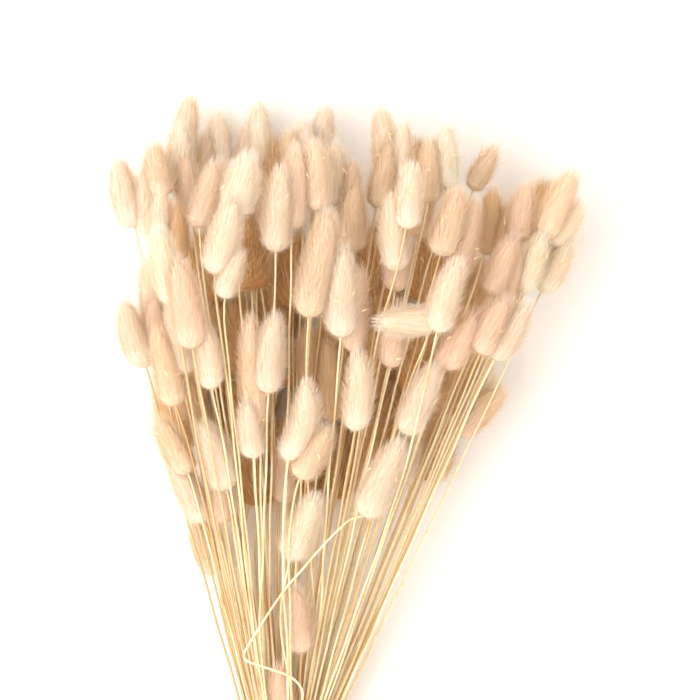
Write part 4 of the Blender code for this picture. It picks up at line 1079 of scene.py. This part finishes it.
def painted_depth_shade(i):
    """Share of painted shade, a deep brown, on a hidden head: all of it in the middle of the fan, a
    quarter at its rim.
    """
    _, _, from_middle = fan_at(*(heads.base[i, :2] - shift[:2]))
    return np.interp(abs(from_middle), [RIM_FROM, RIM_TO], [1.0, RIM_LEFT])


def tint_of(i, rng):
    """The tone's tint, with painted shade that browns a hidden head and painted light that whitens the far
    end, give or take 3%.
    """
    tint = linear(TINTS[heads.tones[i]])
    if i >= len(HEADS):
        # painted shade: a hidden head goes towards the deep brown
        tint = tint + (linear(DEEP_PAINTED_SHADE) - tint) * painted_depth_shade(i)
    far = np.clip((heads.base[i, 1] - FAR_LIGHT_FROM) / (FAR_LIGHT_TO - FAR_LIGHT_FROM), 0, 1)
    # painted light: heads at the far end go part of the way to white
    tint = tint + (1 - tint) * FAR_PAINTED_LIGHT * far
    return np.minimum(tint * (1 + rng.normal(0, TINT_SPREAD)), PALEST)


print("tint of the first head", np.round(tint_of(0, np.random.default_rng(SEED)), 3))

# %% Grow all heads
NEEDLE_PLACES = np.array([(0.1, 0.1), (0.9, 0.1), (0.5, 0.2), (0.5, 0.9)])
CORE_PLACES = np.array([(0.2, 0.2), (0.8, 0.2), (0.5, 0.8)])
# the core takes nearly the full painted shade of the roots
CORE_ALONG, CORE_SHADE = 0.15, 0.3


def grow_node(k, members):
    """Hairs and cores of one node: stacked arrays, with UV cells for each head, paleness and shade."""
    rng = np.random.default_rng(SEED * 1000 + k)
    parts, places, tints, alongs, shades = [], [], [], [], []
    rows = BANDS + 1
    cell = np.array([1 / (SHADES + 2), 1 / (rows * len(members))])
    for place_in, i in enumerate(members):
        tint = tint_of(i, rng)
        density = (HIDDEN_SHARE, HIDDEN_AWNS) if i >= len(HEADS) else (1.0, AWNS)
        hair, shade, pale, awn = grow_hairs(i, rng, *density)
        bits = chips(i, rng)
        hair = np.vstack([hair, bits])
        shade = np.append(shade, np.ones(len(bits)))
        pale = np.append(pale, np.ones(len(bits)))
        awn = np.append(awn, np.ones(len(bits), bool))
        core, core_faces = core_of(i)
        column = np.where(awn, SHADES + 1, np.round(shade * (SHADES - 1)))
        corner = np.column_stack([column, place_in * rows + np.round(pale * BANDS)])
        spot = (corner[:, None] + NEEDLE_PLACES[None]) * cell
        triangles = needle_faces(len(hair))
        parts += [(hair.reshape(-1, 3), triangles), (core, core_faces)]
        places.append(spot.reshape(-1, 2)[triangles].reshape(-1, 2))
        places.append(np.tile((CORE_PLACES + (SHADES, place_in * rows)) * cell, (len(core_faces), 1)))
        own = np.where(awn[:, None], linear(AWN_TINT), tint).repeat(4, 0)
        tints.append(np.vstack([own, np.tile(tint, (len(core), 1))]))
        # painted shade: the root corners take the hair's paleness and the point is white
        along = np.column_stack([pale, pale, pale, np.ones(len(hair))])
        alongs.append(np.concatenate([along.ravel(), np.full(len(core), CORE_ALONG)]))
        shades.append(np.concatenate([np.repeat(shade, 4), np.full(len(core), CORE_SHADE)]))
    tints = np.vstack(tints)
    values = {"tint": np.column_stack([tints, np.ones(len(tints))]), "along": np.concatenate(alongs),
              "shade": np.concatenate(shades)}
    return *stacked(parts), values, np.vstack(places)


total = 0
for k, members in enumerate(nodes):
    piece = make_piece(f"fur_{k + 1:02d}", *grow_node(k, members))
    dress(piece, f"heads_{k + 1:02d}", hairs_finish)
    total += len(piece.data.polygons)
print("triangles in all heads", total)

# %% [markdown]
# ## The stalks
#
# A stalk is a round hollow straw, about 1 mm thick under its head and a little thicker at the foot,
# with two slightly swollen joints. A tube carried along its path is the simplest true shape. The
# bends of the solids become a smooth curve by taking each point halfway to its neighbours' middle a
# few times. The cut end is a shallow cup, because the straw is hollow.

# %% Tubes along paths
TUBE_SIDES, STALK_POINTS = 6, 40


def resample(line, count):
    """Points at equal steps of the path's length."""
    long = lengths(line)
    where = np.linspace(0, long[-1], count)
    return points_at(where, long, line), where


def soften(line, times):
    """Each point moves halfway to the middle of its two neighbours; the ends stay."""
    line = line.copy()
    for _ in range(times):
        line[1:-1] = 0.5 * line[1:-1] + 0.25 * (line[2:] + line[:-2])
    return line


def tube(line, radii, sides=TUBE_SIDES):
    """Rings square to the path, with a pole at each end: points and triangles, facing outwards."""
    ways = unit(np.gradient(line, axis=0))
    level = unit(np.cross(ways, (0.0, 0.0, 1.0)))
    up = np.cross(level, ways)
    turn = np.arange(sides) * 2 * np.pi / sides
    spoke = at_angle(level[:, None], up[:, None], turn)
    rings = line[:, None] + spoke * np.asarray(radii)[:, None, None]
    points = np.vstack([rings.reshape(-1, 3), line[:1], line[-1:]])
    start = np.arange(len(line) - 1)[:, None] * sides
    last_ring = (len(line) - 1) * sides
    faces = [band(start, start + sides, sides), cap(0, last_ring + sides, sides),
             flipped(cap(last_ring, last_ring + sides + 1, sides))]
    return points, np.vstack(faces)


test, test_faces = tube(np.array([(0, 0, 0), (0, -1.0, 0)]), [0.1, 0.1])
corner = test[test_faces]
volume = np.einsum("ij,ij->i", corner[:, 0], np.cross(corner[:, 1], corner[:, 2])).sum() / 6
print("volume of a test tube, which is above zero when it faces outwards:", round(volume, 4))

# %% [markdown]
# ## The finish of the straw
#
# Dried grass straw is smooth and a little glossy, pale yellow, with fine lines along its length and a
# browner stretch here and there. The lines are noise drawn out along the stalk, half a millimetre
# apart. Each stalk has its own shade, and the darker half of them is also browner, like older straw.
# The joints are browner too, and the hollow of the cut end has painted shade.

# %% Material of the stalks
STRAW_LINE, STRAW_PATCH = 0.0005, 0.030


def straw_material():
    """Three straw colours mixed by noise drawn out along Y, by age, at the joints and by painted shade in
    the hollow cut end, times the stalk's own shade.
    """
    made, tree, shader = new_material("dried_straw", roughness=0.48)
    place_in = add_node(tree, "ShaderNodeTexCoord")
    drawn = add_node(tree, "ShaderNodeMapping", {"Vector": place_in.outputs["Object"],
                     "Scale": (1 / STRAW_LINE, 1 / STRAW_PATCH, 1 / STRAW_LINE)})
    lines = add_node(tree, "ShaderNodeTexNoise", {"Vector": drawn.outputs[0], "Scale": 1.0, "Detail": 2.0})
    patches = add_node(tree, "ShaderNodeTexNoise", {"Vector": place_in.outputs["Object"],
                       "Scale": 1 / STRAW_PATCH, "Detail": 1.0})
    shade = add_node(tree, "ShaderNodeAttribute", attribute_name="shade")
    # the joint value is browner at the joints, and also holds the painted shade in the hollow of the cut
    # end
    joint = add_node(tree, "ShaderNodeAttribute", attribute_name="joint")
    ramp = add_node(tree, "ShaderNodeValToRGB", {"Fac": lines.outputs["Fac"]})
    for stop, share, code in zip(ramp.color_ramp.elements, (0.3, 0.7), ("#eed196", "#fff5d4")):
        stop.position, stop.color = share, (*linear(code), 1)
    brown = add_node(tree, "ShaderNodeMapRange", {"Value": patches.outputs["Fac"], "From Min": 0.50,
                     "From Max": 0.75, "To Max": 0.55})
    aged = add_node(tree, "ShaderNodeMapRange", {"Value": shade.outputs["Fac"], "From Min": 0.5,
                    "From Max": 0.0, "To Max": 0.8})
    browner = add_node(tree, "ShaderNodeMath", {0: brown.outputs[0], 1: joint.outputs["Fac"]},
                       operation="MAXIMUM")
    browner = add_node(tree, "ShaderNodeMath", {0: browner.outputs[0], 1: aged.outputs[0]},
                       operation="MAXIMUM")
    mixed = add_node(tree, "ShaderNodeMix", {"Factor": browner.outputs[0]}, data_type="RGBA")
    tree.links.new(ramp.outputs["Color"], mixed.inputs["A"])
    mixed.inputs["B"].default_value = (*linear("#dea55c"), 1)
    own = add_node(tree, "ShaderNodeMapRange", {"Value": shade.outputs["Fac"], "To Min": 0.82,
                   "To Max": 1.08})
    colour = add_node(tree, "ShaderNodeVectorMath", {"Scale": own.outputs[0]}, operation="SCALE")
    tree.links.new(mixed.outputs["Result"], colour.inputs[0])
    tree.links.new(colour.outputs[0], shader.inputs["Base Color"])
    return made


straw_finish = straw_material()
print("made", straw_finish.name)

# %% The way of a stalk
CUT_ROW, CUT_UNEVEN, CORE_HALF, SPLAY, HEAD_REACH = 925.0, 0.0015, 0.011, 1.25, 0.006
rng = np.random.default_rng(SEED + 1)
cut_y = place(0, CUT_ROW)[1] + rng.uniform(-CUT_UNEVEN, CUT_UNEVEN, heads.count) + shift[1]


def stalk_path(i):
    """From inside the head, over the stalk's points and through the tie, to the cut end."""
    foot = np.array([tie_middle[0] + feet[i, 0], tie_middle[1] - CORE_HALF, tie_middle[2] + feet[i, 1]])
    cut = np.array([tie_middle[0] + feet[i, 0] * SPLAY, cut_y[i], tie_middle[2] + feet[i, 1] * SPLAY])
    ahead = heads.tip[i] - heads.base[i]
    inside = heads.base[i] + ahead / np.linalg.norm(ahead) * HEAD_REACH
    line = bent_points if i == BENT_HEAD else knots[i]
    return np.vstack([inside, heads.base[i], line[1:], foot, cut])


print("longest stalk in mm", round(max(lengths(stalk_path(i))[-1] for i in range(heads.count)) * 1000))

# %% Grow the stalks
# the inner edge of the cut end's hollow gets this share of painted shade, its floor all of it
CUP_DEEP, CUP_RIM, CUP_FLOOR, HOLLOW_RIM_SHADE = 0.0015, 0.6, 0.55, 0.3
WAVE_HIGH, WAVE_LONG, WAVE_FADE, WAVE_START = 0.00025, 0.055, 0.05, 6.28
JOINTS, JOINT_FROM, JOINT_TO = 2, 0.15, 0.85
JOINT_SWELL, JOINT_LONG = 0.35, 0.0013


def stalk(i, rng):
    """A smoothed tube with a faint wave and two joints, ending in a cup.

    A joint swells the radius by a bell curve and makes the straw browner. The cup is two smaller
    rings: the inner edge of the wall, and the floor of the hollow. The hollow has painted shade: a
    little at the inner edge, and all of it at the floor.
    """
    count = STALK_POINTS * 2 if i == BENT_HEAD else STALK_POINTS
    line, where = resample(stalk_path(i), count)
    line = soften(line, 1 if i == BENT_HEAD else 3)
    wave = WAVE_HIGH * np.sin(where / WAVE_LONG * 2 * np.pi + rng.uniform(0, WAVE_START))
    fade = np.clip((line[:, 1] - tie_middle[1]) / WAVE_FADE, 0, 1)
    line[:, 0] += wave * fade
    radii = np.interp(line[:, 1], [tie_middle[1], heads.base[i, 1]], [STALK_FOOT, STALK_TOP])
    joint = np.zeros(count)
    for share in rng.uniform(JOINT_FROM, JOINT_TO, JOINTS):
        joint = np.maximum(joint, np.exp(-(((where - share * where[-1]) / JOINT_LONG) ** 2)))
    radii = radii * (1 + JOINT_SWELL * joint)
    cup = line[-1:] + (line[-2:-1] - line[-1:]) / np.linalg.norm(line[-2] - line[-1]) * CUP_DEEP
    points, faces = tube(line, radii)
    rim = points[(count - 1) * TUBE_SIDES : count * TUBE_SIDES]
    inner = line[-1] + (rim - line[-1]) * CUP_RIM
    floor = cup + (rim - line[-1]) * CUP_FLOOR
    first, last = len(points), len(points) - 1
    bottom = first + TUBE_SIDES
    points = np.vstack([points, inner, floor])
    points[last] = cup[0]
    faces = np.vstack([faces[:-TUBE_SIDES], band((count - 1) * TUBE_SIDES, first, TUBE_SIDES),
                       band(first, bottom, TUBE_SIDES), flipped(cap(bottom, last, TUBE_SIDES))])
    # browner at the joints, and painted shade in the hollow of the cut end: some at its inner edge, all at
    # its floor and middle
    dark = np.concatenate([np.repeat(joint, TUBE_SIDES), [0, 1], np.full(TUBE_SIDES, HOLLOW_RIM_SHADE),
                           np.ones(TUBE_SIDES)])
    return points, faces, dark


for k in range(GROUPS):
    rng = np.random.default_rng(SEED * 100 + k)
    parts, shades, joints = [], [], []
    for i in np.flatnonzero(group == k):
        points, faces, dark = stalk(i, rng)
        parts.append((points, faces))
        shades.append(np.full(len(points), rng.uniform(0, 1)))
        joints.append(dark)
    # the joint value holds the joints and the painted shade in the hollow cut end
    values = {"shade": np.concatenate(shades), "joint": np.concatenate(joints)}
    piece = make_piece(f"straw_{k + 1}", *stacked(parts), values, smooth=True)
    dress(piece, f"stalks_{k + 1}", straw_finish)
    print(piece.name, "triangles", len(piece.data.polygons))

# %% [markdown]
# ## The twine
#
# Jute twine is three strands laid round each other, dull and hairy. Here it goes four times round the
# stalks, is knotted on top, and ends in two frayed tails. A strand is a tube whose path circles round
# the twine's own path, one turn every 5 mm. Loose fibres stand off it all along.

# %% Material of the twine
JUTE_GRAIN = 0.0006


def twine_material():
    """Two jute browns mixed by noise 0.6 mm long: fibres are 0.15 mm wide, too fine to show."""
    made, tree, shader = new_material("laid_jute", roughness=0.9)
    place_in = add_node(tree, "ShaderNodeTexCoord")
    fine = add_node(tree, "ShaderNodeTexNoise", {"Vector": place_in.outputs["Object"],
                    "Scale": 1 / JUTE_GRAIN, "Detail": 3.0})
    ramp = add_node(tree, "ShaderNodeValToRGB", {"Fac": fine.outputs["Fac"]})
    for stop, share, code in zip(ramp.color_ramp.elements, (0.32, 0.68), ("#8a6a42", "#cfae7c")):
        stop.position, stop.color = share, (*linear(code), 1)
    tree.links.new(ramp.outputs["Color"], shader.inputs["Base Color"])
    return made


jute_finish = twine_material()
print("made", jute_finish.name)

# %% Strands of the twine
STRAND_OFF, STRAND_THICK, LAY = 0.00046, 0.00056, 0.005
STRAND_STEP, STRAND_SIDES, LEAST_POINTS = 0.0009, 5, 8
END_SHARE, END_LONG = 0.35, 0.001
ASIDE = (0.2, 1.0, 0.1)


def strand(path):
    """A tube of one thickness that goes down to a third of it at its ends, evenly with the length."""
    where = lengths(path)
    ends = np.minimum(where, where[-1] - where)
    return tube(path, STRAND_THICK * np.clip(END_SHARE + ends / END_LONG, 0, 1), STRAND_SIDES)


def strands(line):
    """Three tubes that circle round a path, one turn for each lay, a third of a turn apart."""
    line, where = resample(line, max(int(lengths(line)[-1] / STRAND_STEP), LEAST_POINTS))
    ways = unit(np.gradient(line, axis=0))
    off = unit(np.cross(ways, ASIDE))
    square = np.cross(ways, off)
    made = []
    for third in range(3):
        turn = where / LAY * 2 * np.pi + third * 2 * np.pi / 3
        made.append(strand(line + STRAND_OFF * at_angle(off, square, turn)))
    return made, line, off, square


print("points of a strand's ring", STRAND_SIDES)

# %% The way of the twine
TIE_BORE, TWINE, TIE_TURNS = 0.0116, 0.0020, 4
TURN_START, TURN_SHORT, KNOT_SIZE = 0.25, 0.15, 0.00105
TAIL_LONG, TAIL_OUT, TAIL_FALL, TAIL_RISE = 0.030, 0.80, 0.55, 0.0050
TAIL_X, TAIL_Y, TAIL_Z = 0.0012, 0.0013, 0.0006
WINDING_POINTS, KNOT_POINTS, TAIL_POINTS = 400, 120, 40

# the winding is a helix, the knot a trefoil, and a tail leaves it sideways and falls like a parabola
turn = np.linspace(TURN_START, TIE_TURNS - TURN_SHORT + TURN_START, WINDING_POINTS) * 2 * np.pi
reach = TIE_BORE + TWINE / 2
slide = (np.linspace(0, 1, WINDING_POINTS) - 0.5) * (TIE_TURNS - 1) * TWINE
winding = tie_middle + np.column_stack([reach * np.cos(turn), slide, reach * np.sin(turn)])
top = tie_middle + np.array([0, 0, TIE_BORE + TWINE])
a = np.linspace(0, 2 * np.pi, KNOT_POINTS)
knot = top + KNOT_SIZE * np.column_stack([np.sin(a) + 2 * np.sin(2 * a), np.cos(a) - 2 * np.cos(2 * a),
                                          0.5 - np.sin(3 * a)])
lines = [winding, knot]
for side in (-1, 1):
    u = np.linspace(0.0, 1.0, TAIL_POINTS)
    lines.append(top + np.column_stack([side * (TAIL_X + TAIL_LONG * TAIL_OUT * u),
                                        side * (TAIL_Y + TAIL_RISE * u**1.5),
                                        TAIL_Z + TAIL_RISE * u - TAIL_LONG * TAIL_FALL * u**2]))
print("length of the twine in m", round(sum(lengths(line)[-1] for line in lines), 2))

# %% Lay the twine
FIBRES, FIBRE_POINTS, FIBRE_LONG, FIBRE_WIDE, FIBRE_ROOT = 900, 600, 0.0022, 0.00010, 0.0007
FIBRE_AHEAD, FIBRE_OUT, FIBRE_RANGE = (0.6, 1.2), (0.2, 0.8), (0.5, 1.3)
ONE_FRAYED_IN, FRAYED_POINTS = 4, 4


def fibres(middle, off, square, rng):
    """Needles that leave the twine aslant, with one in four at its end, where it frays."""
    count = int(FIBRES * len(middle) / FIBRE_POINTS)
    frayed = count // ONE_FRAYED_IN
    pick = rng.integers(0, len(middle), count)
    pick[:frayed] = len(middle) - 1 - rng.integers(0, FRAYED_POINTS, frayed)
    spoke = at_angle(off[pick], square[pick], rng.uniform(0, 2 * np.pi, count))
    ahead = unit(np.gradient(middle, axis=0)[pick])
    root = middle[pick] + spoke * FIBRE_ROOT
    grown = ahead * rng.uniform(*FIBRE_AHEAD, (count, 1)) + spoke * rng.uniform(*FIBRE_OUT, (count, 1))
    side_way = np.cross(ahead, spoke) * FIBRE_WIDE
    fibre = np.stack([root - side_way, root + side_way, root - spoke * FIBRE_WIDE,
                      root + grown * FIBRE_LONG * rng.uniform(*FIBRE_RANGE, (count, 1))], 1)
    fibre[..., 2] = np.maximum(fibre[..., 2], FLOOR_GAP)
    return fibre.reshape(-1, 3), needle_faces(count)


rng = np.random.default_rng(SEED + 5)
parts = []
for line in lines:
    made, middle, off, square = strands(line)
    parts += made + [fibres(middle, off, square, rng)]
piece = make_piece("twine_tie", *stacked(parts), {}, smooth=True)
dress(piece, "tie", jute_finish)
print("twine triangles", len(piece.data.polygons))

# %% [markdown]
# ## Floor, light and camera
#
# The photograph is a studio picture on pure white, with soft light from all round and hardly a shadow.
# The bunch lies on a white floor here, and the camera looks straight down on it, so that it stands in
# the picture. A white sky gives the even light, and one large soft lamp up to the left gives the
# heads their form. The lens is long, because the photograph has no perspective to speak of.

# %% Floor
def floor_material():
    """Matt paper, a warm shade off white, so that its shadows are not blue."""
    made, _, shader = new_material("matt_white_paper", roughness=0.95)
    shader.inputs["Base Color"].default_value = (*linear("#fff9f1"), 1)
    return made


FLOOR_HALF = 1.6
paper = bpy.data.meshes.new("paper")
corners = [(x * FLOOR_HALF, y * FLOOR_HALF, 0) for x, y in ((-1, -1), (1, -1), (1, 1), (-1, 1))]
paper.from_pydata(corners, [], [(0, 1, 2, 3)])
paper.materials.append(floor_material())
floor = bpy.data.objects.new("paper", paper)
bpy.context.scene.collection.objects.link(floor)
print("floor of", round(2 * FLOOR_HALF, 1), "m")

# %% Light
SKY_LIGHT, LAMP_WATTS, LAMP_SIZE = 1.13, 17.0, 1.3
LAMP_PLACE, LAMP_LEAN = (-0.75, 0.0, 1.3), -30
world = bpy.data.worlds.new("studio")
world.use_nodes = True
sky = world.node_tree.nodes["Background"]
sky.inputs["Color"].default_value = (1.0, 1.0, 1.0, 1.0)
sky.inputs["Strength"].default_value = SKY_LIGHT
bpy.context.scene.world = world
softbox = bpy.data.lights.new("softbox", "AREA")
softbox.shape = "RECTANGLE"
softbox.size, softbox.size_y = LAMP_SIZE, LAMP_SIZE
softbox.energy = LAMP_WATTS
lamp = bpy.data.objects.new("softbox", softbox)
lamp.location = LAMP_PLACE
lamp.rotation_euler = (0.0, math.radians(LAMP_LEAN), 0.0)
bpy.context.scene.collection.objects.link(lamp)
print("lamps", [lamp.name])

# %% Camera
LENS_AWAY, LEVEL_OF_HEADS, FRAME_STEPS, SENSOR = 6.0, 0.075, 700, 36.0
eye = bpy.data.cameras.new("camera")
eye.sensor_width = SENSOR
eye.lens = SENSOR * (LENS_AWAY - LEVEL_OF_HEADS) / (FRAME_STEPS * STEP)
eye.clip_end = 50
camera = bpy.data.objects.new("camera", eye)
middle = place(FRAME_STEPS / 2, FRAME_STEPS / 2) + shift[:2]
camera.location = (middle[0], middle[1], LENS_AWAY)
bpy.context.scene.collection.objects.link(camera)
bpy.context.scene.camera = camera
bpy.context.scene.view_settings.view_transform = "Standard"
print("lens in mm", round(eye.lens))
